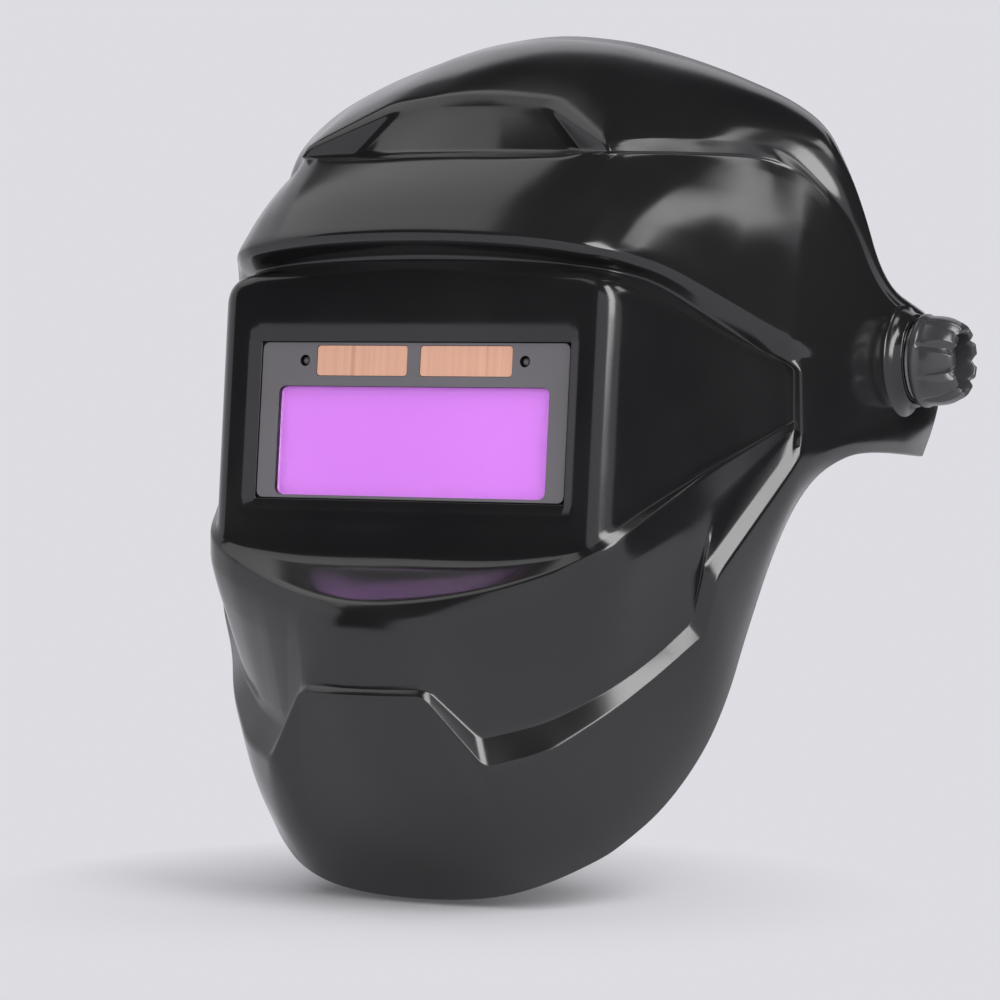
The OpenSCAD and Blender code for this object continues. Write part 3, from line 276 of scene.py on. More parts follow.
# First row, last row, columns counted from the middle, share.
CRISP = ((12, 15, (3,), 0.03), (12, 15, (4,), 0.25), (3, 5, (1, 2), 0.12), (19, 20, (1, 2), 0.14),
         (19, 20, (7, 8), 0.14), (11, 20, (9,), 0.2), (11, 20, (10,), 0.25))
SMOOTH, FINE, COARSE = 0.5, 7, 5
EAR_FROM, EAR_OVER = 100.0, 4.0
row_i, side_k = np.arange(ROWS), np.abs(np.arange(COLS) - LAST_K)
col_round = np.full((ROWS, COLS), SMOOTH)
for first, last, columns, share in CRISP:
    col_round[first:last + 1, np.isin(side_k, columns)] = share
window_rows = (row_i > BLOCK_ROW) & (row_i < FOOT_ROW)
col_counts = np.where((side_k == OPEN_K) | (side_k == OPEN_K + 1), COARSE, FINE)
row_counts = np.where(window_rows, COARSE, FINE)


def parabola(a, p, b, t):
    """Curve from a to b that leans towards p: (1-t)^2 a + 2t(1-t) p + t^2 b."""
    return a * (1 - t) ** 2 + p * 2 * t * (1 - t) + b * t ** 2


def corner_points(points, share, counts):
    """Rounds a stack of polylines along axis 0: each corner becomes a parabola between the points
    a share of the way to its neighbours."""
    made = [points[:1]]
    for i in range(1, len(points) - 1):
        a = mix(points[i], points[i - 1], share[i][..., None])
        b = mix(points[i], points[i + 1], share[i][..., None])
        t = ((np.arange(counts[i]) + 0.5) / counts[i])[:, None, None]
        made.append(parabola(a, points[i], b, t))
    return np.concatenate(made + [points[-1:]])


def skin(control):
    """Control net rounded along its rows, then along its columns; the ear is smooth throughout."""
    dense = corner_points(control.transpose(1, 0, 2), col_round.T, col_counts)
    behind = np.clip((np.abs(dense[:, LIP_ROW, 0]) - EAR_FROM) / EAR_OVER, 0, 1)
    share = mix(row_round[:, None], SMOOTH, behind[None, :])
    return corner_points(dense.transpose(1, 0, 2), share, row_counts)


outer = skin(net)
print("outer skin", outer.shape)

# %% [markdown]
# ## The inner skin
# A moulded wall is even, so the inside has to follow the outside at a fixed distance. At a corner of
# the net the offset is the vector whose part along each neighbouring face's normal is one wall. Behind
# a sharp fold the inside runs straight on, as the real core of the mould does.

# %% Inner skin
LEVEL_PULL, LONGEST_OFFSET = 0.12, 2.0


def even_offset(control):
    """Least-squares x with n . x = 1 for the normals n of the cells that meet at each point,
    pulled a little towards their mean where those cells are nearly level with each other."""
    n = np.cross(control[1:, 1:] - control[:-1, :-1], control[:-1, 1:] - control[1:, :-1])
    n /= np.maximum(np.linalg.norm(n, axis=-1, keepdims=True), 1e-6)
    square = np.zeros(control.shape[:2] + (3, 3))
    total = np.zeros(control.shape)
    for rows in (slice(None, -1), slice(1, None)):
        for cols in (slice(None, -1), slice(1, None)):
            square[rows, cols] += n[..., :, None] * n[..., None, :]
            total[rows, cols] += n
    mean = total / np.linalg.norm(total, axis=-1, keepdims=True)
    x = np.linalg.solve(square + LEVEL_PULL * np.eye(3), (total + LEVEL_PULL * mean)[..., None])[..., 0]
    return x * np.minimum(1, LONGEST_OFFSET / np.linalg.norm(x, axis=-1, keepdims=True))


inner_net = net - even_offset(net) * SHELL_WALL
window_part = np.ix_(window_rows, side_k < CORNER_K)
flat_back = net[window_part]
flat_back[..., 1] = -face_forward(flat_back[..., 2]) + BORDER_DEPTH + LIP_WALL
inner_net[window_part] = flat_back
even = inner_net.copy()
front_k = side_k < FRAME_K
for row, share in ((STRIP_ROW, 0.12), (UNDER_ROW, 0.3)):
    inner_net[row, front_k] = mix(even[row - 1, front_k], even[row + 1, front_k], share)
frame_rows = slice(BLOCK_ROW, STRIP_ROW)
for k, inward in ((LAST_K - FRAME_K, 1), (LAST_K + FRAME_K, -1)):
    inner_net[frame_rows, k] = mix(even[frame_rows, k + inward], even[frame_rows, k - inward], 0.15)
inner = skin(inner_net)
print("middle value of the wall:", round(float(np.median(np.linalg.norm(outer - inner, axis=-1))), 2), "mm")

# %% [markdown]
# ## Closing the shell
# The two skins are joined along the outer rim by a small rounded bead, and along the window opening
# by a flat lip. The cells inside the opening are left out.

# %% Shell mesh
BEAD_STEPS, BEAD_OUT = 7, 0.9


def middle_index(counts, i):
    """Number of the middle sample of corner i along one direction."""
    return 1 + int(np.sum(counts[1:i])) + int(counts[i]) // 2


def rim_path(rows, cols):
    """Grid numbers of the border of a rows x cols grid, once round."""
    grid = np.arange(rows * cols).reshape(rows, cols)
    return np.concatenate([grid[0, :-1], grid[:-1, -1], grid[-1, :0:-1], grid[:0:-1, 0]])


def build_shell():
    """Outer skin, inner skin, rounded rim between them and the lip of the window."""
    rows, cols = outer.shape[:2]
    count = rows * cols
    w0, w1 = middle_index(row_counts, OPEN_TOP_ROW), middle_index(row_counts, OPEN_LOW_ROW)
    c0, c1 = middle_index(col_counts, LAST_K - OPEN_K), middle_index(col_counts, LAST_K + OPEN_K)
    cell_row, cell_col = np.divmod(np.arange((rows - 1) * (cols - 1)), cols - 1)
    solid = ~((cell_row >= w0) & (cell_row < w1) & (cell_col >= c0) & (cell_col < c1))
    cells = quad_faces(rows, cols)[solid]
    border = rim_path(rows, cols)
    a, b = outer.reshape(-1, 3)[border], inner.reshape(-1, 3)[border]
    wall = b - a
    step = np.roll(a, -1, 0) - np.roll(a, 1, 0)
    out = np.cross(step, wall)
    out /= np.linalg.norm(out, axis=1)[:, None]
    turn = np.linspace(0, np.pi, BEAD_STEPS)[1:-1, None, None]
    bead = (a + b) / 2 - np.cos(turn) * wall / 2 + np.sin(turn) * out * BEAD_OUT
    points = np.concatenate([outer.reshape(-1, 3), inner.reshape(-1, 3), bead.reshape(-1, 3)])
    bead_loops = 2 * count + np.arange(bead.shape[0] * len(border)).reshape(-1, len(border))
    loops = np.concatenate([border[None], bead_loops, border[None] + count])
    following = np.roll(loops, -1, 1)
    rim = np.stack([loops[:-1], following[:-1], following[1:], loops[1:]], -1).reshape(-1, 4)
    hole = np.arange(count).reshape(rows, cols)[w0:w1 + 1, c0:c1 + 1]
    edge = hole.reshape(-1)[rim_path(*hole.shape)]
    edge_next = np.roll(edge, -1)
    lip_quads = np.stack([edge, edge + count, edge_next + count, edge_next], -1)
    quads = np.concatenate([cells[:, ::-1], cells + count, rim, lip_quads])
    used = np.unique(quads)
    lookup = np.zeros(len(points), int)
    lookup[used] = np.arange(len(used))
    return mesh_object("shell_moulding", points[used] * MM, lookup[quads])


shell_piece = build_shell()
print("shell faces", len(shell_piece.data.polygons))

# %% [markdown]
# ## Finishes
# A material is a tree of nodes. Each input of a node takes either a link from another node or a constant,
# so one helper decides which of the two it was given. Constant values sit on the shader itself.

# %% Node helpers
def plug(socket, value):
    """Gives a socket a link, a colour of three parts or another constant."""
    if isinstance(value, bpy.types.NodeSocket):
        socket.id_data.links.new(value, socket)
    else:
        socket.default_value = (*value, 1) if socket.type == "RGBA" else value


def feed(node, *values, **named):
    """Fills a node's inputs in order or by name, where an underscore stands for a space."""
    for socket, value in zip(node.inputs, values):
        plug(socket, value)
    for name, value in named.items():
        plug(node.inputs[name.replace("_", " ")], value)
    return node


def add_node(tree, kind, *values, **named):
    """New shader node with its inputs filled."""
    return feed(tree.nodes.new("ShaderNode" + kind), *values, **named)


def new_material(name):
    """Empty material; returns it with its tree and its Principled shader."""
    material = bpy.data.materials.new(name)
    material.use_nodes = True
    return material, material.node_tree, material.node_tree.nodes["Principled BSDF"]


print("node helpers ready")

# %% [markdown]
# Most finishes below are built from the same few steps: a noise on Object coordinates, which stay with the
# piece when it moves, a colour or a gloss that follows the noise, and a fine bump.

# %% Material helpers
def noise(tree, scale, detail=3.0, stretch=(1, 1, 1)):
    """Noise on Object coordinates, stretched along the axes."""
    place = add_node(tree, "TexCoord").outputs["Object"]
    mapped = add_node(tree, "Mapping", Vector=place, Scale=stretch).outputs["Vector"]
    return add_node(tree, "TexNoise", Vector=mapped, Scale=scale, Detail=detail).outputs["Fac"]


def to_range(tree, value, low, high, start=0.3, stop=0.7):
    """Maps start..stop of a value to low..high."""
    return add_node(tree, "MapRange", value, start, stop, low, high).outputs["Result"]


def colour_between(tree, value, first, second, start=0.35, stop=0.65):
    """Colour ramp from first to second as value goes from start to stop."""
    ramp = add_node(tree, "ValToRGB", value)
    for element, position, colour in zip(ramp.color_ramp.elements, (start, stop), (first, second)):
        element.position, element.color = position, (*colour, 1)
    return ramp.outputs["Color"]


def mix_colours(tree, share, first, second, blend="MIX"):
    """Colour mix; the node's colours are its inputs 6 and 7, its result the output 2."""
    node = add_node(tree, "Mix", share)
    node.data_type, node.blend_type = "RGBA", blend
    plug(node.inputs[6], first)
    plug(node.inputs[7], second)
    return node.outputs[2]


def object_measure(tree, operation, vector):
    """Each point's dot product with a vector, or its distance from it, in Object coordinates."""
    node = add_node(tree, "VectorMath", add_node(tree, "TexCoord").outputs["Object"], vector)
    node.operation = operation
    return node.outputs["Value"]


def add_bump(tree, shader, height, strength, distance):
    """Bump from a height, in metres at full strength."""
    bump = add_node(tree, "Bump", Height=height, Strength=strength, Distance=distance)
    feed(shader, Normal=bump.outputs["Normal"])


def even_gloss(name, dark, light, scale, roughness, specular=0.5, detail=3.0):
    """Surface whose colour drifts between two tones while its gloss is the same all over."""
    material, tree, shader = new_material(name)
    feed(shader, Base_Color=colour_between(tree, noise(tree, scale, detail), dark, light),
         Roughness=roughness, Specular_IOR_Level=specular)
    return material


print("material helpers ready")

# %% [markdown]
# Moulded plastic is never one flat colour: its gloss changes a little from place to place, and a fine
# texture breaks up the edge of each reflection. The shell is the glossiest, the headgear is matt and the
# foam hardly reflects at all, so one function with a table makes them all.

# %% Plastics
DRIFT, GLOSS_DRIFT, GRAIN_STRENGTH = 14.0, 40.0, 0.25


def plastic_surface(tree, shader, rough, grain, grain_depth):
    """Gloss that varies over a few centimetres, and a fine grain."""
    feed(shader, Roughness=to_range(tree, noise(tree, GLOSS_DRIFT, 4.0), *rough))
    add_bump(tree, shader, noise(tree, grain, 2.0), GRAIN_STRENGTH, grain_depth)


def moulded_plastic(name, dark, light, rough, grain, grain_depth, specular=0.5):
    """Plastic whose colour drifts between two tones, with the surface above."""
    material, tree, shader = new_material(name)
    tone = colour_between(tree, noise(tree, DRIFT), dark, light)
    feed(shader, Base_Color=tone, Specular_IOR_Level=specular)
    plastic_surface(tree, shader, rough, grain, grain_depth)
    return material


# Dark and light tone, range of roughness, fineness and depth in metres of the grain, specular level.
PLASTICS = {
    "shell_gloss": ((0.0085, 0.0085, 0.0092), (0.0115, 0.0115, 0.012), (0.13, 0.2), 700.0, 0.000015, 0.65),
    "case_black": ((0.016, 0.016, 0.017), (0.022, 0.022, 0.023), (0.45, 0.6), 2200.0, 0.00004),
    "band_black": ((0.022, 0.022, 0.024), (0.031, 0.031, 0.033), (0.42, 0.58), 1800.0, 0.00004),
    "knob_grey": ((0.028, 0.028, 0.03), (0.038, 0.038, 0.041), (0.2, 0.28), 1600.0, 0.00002, 0.65),
    "pinion_nylon": ((0.55, 0.53, 0.47), (0.63, 0.61, 0.55), (0.4, 0.5), 1500.0, 0.00003),
    "fibre_brown": ((0.1, 0.08, 0.06), (0.16, 0.13, 0.1), (0.75, 0.9), 900.0, 0.00008),
    "foam_black": ((0.014, 0.014, 0.014), (0.024, 0.024, 0.024), (0.85, 0.95), 1300.0, 0.0002),
    "board_green": ((0.02, 0.1, 0.045), (0.035, 0.15, 0.07), (0.3, 0.45), 1200.0, 0.00003),
}
plastic = {name: moulded_plastic(name, *values) for name, values in PLASTICS.items()}
print("plastics:", list(plastic))

# %% [markdown]
# The filter's front is grey on its face, and the walls of its openings are painted black as painted
# shade in the recesses. The material asks how far a point stands out along the face's normal and is
# grey only on the outermost half millimetre.

# %% Filter panel
PAINTED_SHADE_DEPTH, PAINTED_SHADE_EDGE = 0.55, 0.00002
# The black of the openings' walls is painted shade, not a colour of the plastic.
PANEL_GREY_DARK, PANEL_GREY_LIGHT, WALL_PAINTED_SHADE = (0.122, 0.115, 0.127), (0.136, 0.129, 0.141), (0.008, 0.008, 0.008)


def panel_with_painted_shade():
    """Grey where the height above the leaning face, which is the dot product of the point and the
    face's normal, is more than the grey face's level; below it black, as painted shade in the openings."""
    material, tree, shader = new_material("filter_grey")
    normal = (0.0, -math.cos(FACE_LEAN), math.sin(FACE_LEAN))
    level = (WINDOW_Z * normal[2] - FACE_REACH * normal[1] - BORDER_DEPTH - PAINTED_SHADE_DEPTH) * MM
    height = object_measure(tree, "DOT_PRODUCT", normal)
    face_not_in_shade = to_range(tree, height, 0, 1, level - PAINTED_SHADE_EDGE, level + PAINTED_SHADE_EDGE)
    grey = colour_between(tree, noise(tree, DRIFT), PANEL_GREY_DARK, PANEL_GREY_LIGHT)
    # Below the face's level the colour is painted shade: black in the walls of the openings.
    feed(shader, Base_Color=mix_colours(tree, face_not_in_shade, WALL_PAINTED_SHADE, grey))
    plastic_surface(tree, shader, (0.42, 0.55), 2500.0, 0.00003)
    return material


filter_grey = panel_with_painted_shade()
print("filter panel made")

# %% [markdown]
# Metal pieces are plated steel with fine turning marks, and two brass inserts. The glasses differ more:
# the filter's front glass carries a coating that looks violet from any side, its covers are clear, and
# the shutter behind is nearly black.

# %% Metals and glasses
def plated_metal(name, tone, low, high, scratch=(60, 60, 900)):
    """Metal with a stretched noise as brushed marks in its gloss."""
    material, tree, shader = new_material(name)
    shade = tuple(0.82 * v for v in tone)
    marks = noise(tree, 4.0, 4.0, scratch)
    feed(shader, Base_Color=colour_between(tree, noise(tree, 25.0), shade, tone), Metallic=1.0,
         Roughness=to_range(tree, marks, low, high))
    add_bump(tree, shader, marks, 0.15, 0.00003)
    return material


def clear_plate():
    """Thin clear cover: almost all light passes, with a faint film of dust in its gloss."""
    material, tree, shader = new_material("clear_plate")
    feed(shader, Base_Color=(0.97, 0.98, 1.0), Transmission_Weight=1.0, IOR=1.25,
         Roughness=to_range(tree, noise(tree, 60.0), 0.0, 0.03))
    return material


steel = plated_metal("plated_steel", (0.6, 0.6, 0.61), 0.22, 0.42)
brass = plated_metal("turned_brass", (0.72, 0.52, 0.24), 0.2, 0.35)
clear = clear_plate()
violet = even_gloss("violet_coating", (0.82, 0.255, 0.965), (0.85, 0.275, 0.985), 9.0, 0.3, 0.4, 1.0)
shutter = even_gloss("shutter_glass", (0.03, 0.035, 0.03), (0.045, 0.05, 0.042), 12.0, 0.06, detail=1.0)
print("metals and glasses made")

# %% [markdown]
# A solar cell is a film of narrow strips. Their joints show as thin darker lines across the copper
# pink, at uneven spacing because some catch the light better. One noise stretched along the strips makes
# each of them a little different, and a coarser one draws the joints.

# %% Solar film
def solar_film():
    """Copper-pink film: fine upright strips, with a few stronger joints between them."""
    material, tree, shader = new_material("solar_film")
    strips = noise(tree, 1.0, 2.0, (900, 2, 2))
    joints = noise(tree, 1.0, 0.0, (260, 0.5, 0.5))
    base = colour_between(tree, strips, (0.62, 0.335, 0.235), (0.68, 0.385, 0.275), 0.3, 0.7)
    lines = colour_between(tree, joints, (0.8, 0.76, 0.74), (1, 1, 1), 0.24, 0.3)
    feed(shader, Base_Color=mix_colours(tree, 1.0, base, lines, "MULTIPLY"), Roughness=0.42,
         Specular_IOR_Level=0.35)
    add_bump(tree, shader, strips, 0.2, 0.00002)
    return material


solar = solar_film()
sensor = even_gloss("sensor_window", (0.06, 0.055, 0.058), (0.1, 0.09, 0.094), 400.0, 0.12)
print("solar film and sensors made")

# %% [markdown]
# The pads are foam under a woven cloth. The weave is a fine checker in the pad's own UV map, which has one
# unit for each metre, so the threads follow the pad round its curve.

# %% Woven cloth
THREADS = 900.0


def woven_cloth(name, warp, weft):
    """Plain weave: threads along u and v take turns on top, with fibre noise and a soft sheen."""
    material, tree, shader = new_material(name)
    uv = add_node(tree, "UVMap")
    uv.uv_map = "weave"
    weave = add_node(tree, "TexChecker", Vector=uv.outputs["UV"], Scale=THREADS).outputs["Fac"]
    feed(shader, Base_Color=colour_between(tree, weave, warp, weft, 0.0, 1.0), Sheen_Weight=0.25,
         Roughness=to_range(tree, noise(tree, 700.0), 0.8, 0.95))
    add_bump(tree, shader, weave, 0.4, 0.00025)
    return material


pad_cloth = woven_cloth("pad_cloth", (0.02, 0.02, 0.021), (0.045, 0.045, 0.048))
print("cloth made")

# %% [markdown]
# ## Ear bosses, stop pegs and posts
# The shell's moulding also carries a round boss on each ear, where it turns on the pivot bolt, a small
# stop peg inside it, and four posts behind the window. They are turned shapes, so one helper carries a
# profile round an axis.

# %% Turned shapes
SIDES = {"left": 1, "right": -1}


def turned(profile, sides=96):
    """Surface of revolution: profile points (along, radius) carried round the axis.
    Returns along, radius and angle as whole grids."""
    profile = np.asarray(profile, float)
    angle = np.linspace(0, 2 * np.pi, sides, endpoint=False)
    along = np.repeat(profile[:, :1], sides, 1)
    radius = np.repeat(profile[:, 1:], sides, 1)
    return along, radius, np.broadcast_to(angle, along.shape)


def soften(profile, share, count=3):
    """Rounds each corner of a closed profile over a share of its two edges."""
    p = np.asarray(profile, float)
    a = mix(p, np.roll(p, 1, 0), share)[:, None]
    b = mix(p, np.roll(p, -1, 0), share)[:, None]
    t = np.linspace(0, 1, count)[None, :, None]
    return parabola(a, p[:, None], b, t).reshape(-1, 2)


def side_points(along, radius, angle, side):
    """Places a turned grid on the pivot axis of one side, in metres."""
    return np.stack([side * along, radius * np.cos(angle), radius * np.sin(angle)], -1) * MM


def outward(piece):
    """Turns every face of a closed piece outwards."""
    work = bmesh.new()
    work.from_mesh(piece.data)
    bmesh.ops.recalc_face_normals(work, faces=work.faces)
    work.to_mesh(piece.data)
    work.free()
    return piece


def turned_piece(name, points):
    """Closed piece from a turned grid of points."""
    return outward(mesh_object(name, points, quad_faces(*points.shape[:2], True, True)))


def dress(piece, material, body, slot, *nodes):
    """Gives a new piece its finish and body and hides the nodes that it stands for; the slot argument is not
    used.
    """
    piece.data.materials.append(material)
    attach(piece, body)
    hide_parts(*nodes)
    return piece


dress(shell_piece, plastic["shell_gloss"], "visor", "shell_plastic", "shell")
print("shell dressed")

# %% [markdown]
# The boss grows out of the ear in a hollow curve, as a moulded neck does, so its profile is drawn point by
# point. The peg and the posts are plain cylinders with softened ends; the posts stand on the leaning face.

# %% Bosses and posts
BOSS_IN, BOSS_OUT, BOSS_R, BORE_R = 103.1, 111.4, 15.0, 6.05
NECK = [(BOSS_IN, BORE_R), (BOSS_IN, BOSS_R - 0.4), (BOSS_IN + 0.4, BOSS_R), (EAR_X - 1.6, BOSS_R + 0.4),
        (EAR_X - 0.9, BOSS_R + 3.6), (EAR_X - 0.1, BOSS_R + 3.2), (EAR_X + 0.7, BOSS_R + 1.9),
        (EAR_X + 1.9, BOSS_R + 0.8), (BOSS_OUT - 1.2, BOSS_R + 0.2), (BOSS_OUT - 0.3, BOSS_R),
        (BOSS_OUT, BOSS_R - 0.5), (BOSS_OUT, BORE_R + 0.3), (BOSS_OUT - 0.3, BORE_R)]
PEG_REACH, PEG_R, PEG_TURN, PEG_FROM = 14.5, 1.6, math.radians(60.0), 100.0
POST_X, POST_Y, POST_R, SCREW_R = 59.0, 18.0, 3.2, 1.3
POST_END, POST_TOP = -13.1, -2.4


def boss(word):
    """Boss with its hollow-curved neck, turned about the pivot axis."""
    return turned_piece("ear_boss_" + word, side_points(*turned(soften(NECK, 0.3)), SIDES[word]))


def stop_peg(word):
    """Small round peg beside the boss that meets the stop washer's tabs."""
    profile = [(BOSS_IN + 0.8, 0.01), (BOSS_IN + 0.8, PEG_R), (PEG_FROM, PEG_R), (PEG_FROM, 0.01)]
    points = side_points(*turned(soften(profile, 0.12), 32), SIDES[word])
    points[..., 1:] += PEG_REACH * MM * np.array([math.cos(PEG_TURN), math.sin(PEG_TURN)])
    return turned_piece("stop_peg_" + word, points)


def tilted(points, angle):
    """Points turned about the X axis: y cos - z sin, y sin + z cos."""
    x, y, z = np.moveaxis(np.asarray(points, float), -1, 0)
    c, s = math.cos(angle), math.sin(angle)
    return np.stack([x, y * c - z * s, y * s + z * c], -1)


def on_face(points):
    """From the window's own frame, z out of the face and y up along it, to the part, in metres."""
    return (tilted(points, math.pi / 2 - FACE_LEAN) + [0, -FACE_REACH, WINDOW_Z]) * MM


def retainer_posts():
    """Four hollow posts behind the window, each turned about its own axis."""
    profile = [(POST_END, SCREW_R), (POST_END, POST_R), (POST_TOP, POST_R), (POST_TOP, SCREW_R)]
    along, radius, angle = turned(soften(profile, 0.08), 32)
    one = np.stack([radius * np.cos(angle), radius * np.sin(angle), along], -1)
    places = np.array([[x, y, 0] for x in (-POST_X, POST_X) for y in (-POST_Y, POST_Y)])
    points = one[None] + places[:, None, None]
    rows, cols = one.shape[:2]
    quads = np.concatenate([quad_faces(rows, cols, True, True, n * rows * cols) for n in range(len(places))])
    return outward(mesh_object("retainer_posts", on_face(points), quads))


for piece in [make(word) for make in (boss, stop_peg) for word in SIDES] + [retainer_posts()]:
    dress(piece, plastic["shell_gloss"], "visor", "shell_plastic", "shell")
print("bosses, pegs and posts made")

# %% [markdown]
# ## Tension knobs
# The knob is a hollow barrel with nine petals. Between two petals a V-shaped notch gets deeper and wider
# towards the outer end and scallops the rim. A lathe profile alone can't give that, so the radius is also
# a function of the angle: the profile's radius less the notch's depth at that place.

# %% Tension knobs
KNOB_X, KNOB_LEN, KNOB_PETALS, KNOB_SIDES = 112.9, 14.6, 9, 360
KNOB_PROFILE = [(0.0, 6.02), (0.0, 13.9), (0.35, 14.7), (1.0, 15.0), (2.0, 15.0), (2.5, 14.75), (3.0, 14.4),
                (4.4, 14.4), (6.6, 14.3), (8.8, 14.0), (10.6, 13.5), (12.0, 12.9), (13.2, 12.2), (13.9, 11.6),
                (14.4, 10.9), (14.6, 10.3), (14.5, 9.7), (14.1, 9.25), (13.2, 9.0), (11.0, 8.8),
                (8.5, 8.5), (7.0, 8.2), (6.65, 7.7), (6.6, 6.6), (6.6, 6.02)]
OUTER_COUNT, COLLAR_END, LEAST_R = 17, 3.0, 9.5
NOTCH_START, NOTCH_DEEP, NOTCH_NARROW, NOTCH_WIDE = 2.6, 2.3, 0.05, 0.2
RIM_FROM, RIM_DIP, PETAL_FLAT, PETAL_SPREAD = 12.0, 1.5, 0.55, 1.03


def tension_knob(word):
    """Radius = profile radius, flattened to petals, less notch depth; the rim dips at each notch."""
    along, radius, angle = turned(KNOB_PROFILE, KNOB_SIDES)
    petal = 2 * np.pi / KNOB_PETALS
    off = np.abs((angle + petal / 2) % petal - petal / 2)
    up = np.clip((along - NOTCH_START) / (KNOB_LEN - NOTCH_START), 0, 1)
    notch = np.clip(1 - off / mix(NOTCH_NARROW, NOTCH_WIDE, up), 0, 1) ** 0.85
    flat = mix(1.0, np.cos(petal / 2) / np.cos(petal / 2 - off) * PETAL_SPREAD, PETAL_FLAT * up)
    cut = np.maximum(radius * flat - notch * NOTCH_DEEP * up ** 0.7, np.where(along > COLLAR_END, LEAST_R, 0))
    radius = np.where(np.arange(len(KNOB_PROFILE))[:, None] < OUTER_COUNT, cut, radius)
    along = along - RIM_DIP * notch * np.clip((along - RIM_FROM) / (KNOB_LEN - RIM_FROM), 0, 1)
    return turned_piece("petal_knob_" + word, side_points(KNOB_X + along, radius, angle, SIDES[word]))


for word in SIDES:
    dress(tension_knob(word), plastic["knob_grey"], word + "_knob", "knob_plastic", word + "_tension_knob")
print("knobs made")

# %% [markdown]
# ## Pads
# Two padded pieces touch the head: the sweatband on the brow and the nape pad at the back. Foam under
# cloth is a closed form that swells between its seams. We start from a thin closed form, let a cloth
# simulation blow it up a little, and then draw in the sewn channels. Both lie in the headband's own
# frame, which is tilted about the X axis.

# %% Headband frame
BAND_Z, BAND_TILT = 6.0, math.radians(11.0)
BAND_HALF_W, BAND_FRONT, BAND_BACK, BAND_T = 79.0, 93.0, 98.0, 2.0


def from_band(points):
    """Headband frame in millimetres to part frame in metres."""
    return (tilted(points, -BAND_TILT) + [0, 0, BAND_Z]) * MM


def to_band(points):
    """Part frame in metres to headband frame in millimetres."""
    return tilted(points / MM - [0, 0, BAND_Z], BAND_TILT)


def band_xy(a, d):
    """Point of the headband's ellipse at angle a from the front, a distance d outside it."""
    reach = np.where(np.abs(a) < np.pi / 2, BAND_FRONT, BAND_BACK)
    return (BAND_HALF_W + d) * np.sin(a), -(reach + d) * np.cos(a)


print("headband frame at z", BAND_Z)

# %% [markdown]
# The swelling starts from even cells, because cloth made of long thin faces wrinkles along them. Pressure
# from inside then rounds the form for a few frames. Each point may move only so far, so the pad keeps to
# the room that it has, and the seams are drawn in afterwards.

# %% Cloth swelling
SWELL_CELL, SWELL_CAP, SWELL_FRAMES, SWELL_PRESSURE = 0.003, 0.005, 20, 4.0


def read_points(mesh):
    """All vertex positions as one array."""
    flat = np.empty(len(mesh.vertices) * 3)
    mesh.vertices.foreach_get("co", flat)
    return flat.reshape(-1, 3)


def write_points(mesh, points):
    """Puts one array of positions back into the vertices."""
    mesh.vertices.foreach_set("co", np.asarray(points, float).ravel())
    mesh.update()


def apply_modifiers(piece):
    """Replaces a piece's mesh by its evaluated mesh, with no modifier left."""
    graph = bpy.context.evaluated_depsgraph_get()
    made = bpy.data.meshes.new_from_object(piece.evaluated_get(graph))
    piece.modifiers.clear()
    piece.data = made


def swell(piece):
    """Voxel remesh, then cloth with inner pressure, each point moving by at most the cap."""
    remesh = piece.modifiers.new("even_cells", "REMESH")
    remesh.mode = "VOXEL"
    remesh.voxel_size = SWELL_CELL
    apply_modifiers(piece)
    start = read_points(piece.data)
    cloth = piece.modifiers.new("cloth", "CLOTH")
    cloth.settings.use_pressure = True
    cloth.settings.uniform_pressure_force = SWELL_PRESSURE
    cloth.settings.effector_weights.gravity = 0.0
    cloth.point_cache.frame_end = SWELL_FRAMES
    for step in range(1, SWELL_FRAMES + 1):
        bpy.context.scene.frame_set(step)
    apply_modifiers(piece)
    bpy.context.scene.frame_set(1)
    move = read_points(piece.data) - start
    far = np.linalg.norm(move, axis=1, keepdims=True)
    write_points(piece.data, start + move * np.minimum(1, SWELL_CAP / np.maximum(far, 1e-9)))
    smooth = piece.modifiers.new("smooth", "SUBSURF")
    smooth.levels = smooth.render_levels = 2
    apply_modifiers(piece)
    piece.data.polygons.foreach_set("use_smooth", np.ones(len(piece.data.polygons), bool))
    return piece


def lay_weave(piece, across, along):
    """UV map in metres from two arrays of one value for each vertex."""
    layer = piece.data.uv_layers.new(name="weave")
    corner = np.empty(len(piece.data.loops), int)
    piece.data.loops.foreach_get("vertex_index", corner)
    layer.data.foreach_set("uv", np.stack([across[corner], along[corner]], 1).ravel())


print("cloth helpers ready")

# %% [markdown]
# Both pads share a section that is flat at the back and crowned towards the head. Rings of it are joined
# into a closed form, thinner at its two ends. After the swelling the sewn seams pull its front in.

# %% Pad shapes
SEAM_DEPTH, SEAM_WIDTH, SEAM_FROM = 2.4, 0.1, 3.0
START_DEPTH, START_HEIGHT, SECTION_SIDES = 0.85, 0.94, 32


def signed_power(v, power):
    """Power of the size of v, with the sign of v."""
    return np.sign(v) * np.abs(v) ** power


def roll_section(count):
    """Closed section: depth from 0 at the back to 1 at the crown, height from -1 to 1."""
    f = np.linspace(0, 2 * np.pi, count, endpoint=False)
    return ((1 - np.cos(f)) / 2) ** 0.7, signed_power(np.sin(f), 0.6)


def end_taper(s):
    """Share of full thickness along a pad: full in the middle, drawn in at the two ends."""
    return np.maximum(0.34, np.sqrt(1 - np.abs(2 * s - 1) ** 6))


def pad_rings(count, thickness, height, end_height):
    """Pad before it swells: the share along it, and each point's depth and height."""
    s = np.linspace(0, 1, count)[:, None]
    depth, rise = roll_section(SECTION_SIDES)
    taper = end_taper(s)
    z = START_HEIGHT * height / 2 * mix(end_height, 1, taper) * rise
    return s, START_DEPTH * thickness * taper * depth, z


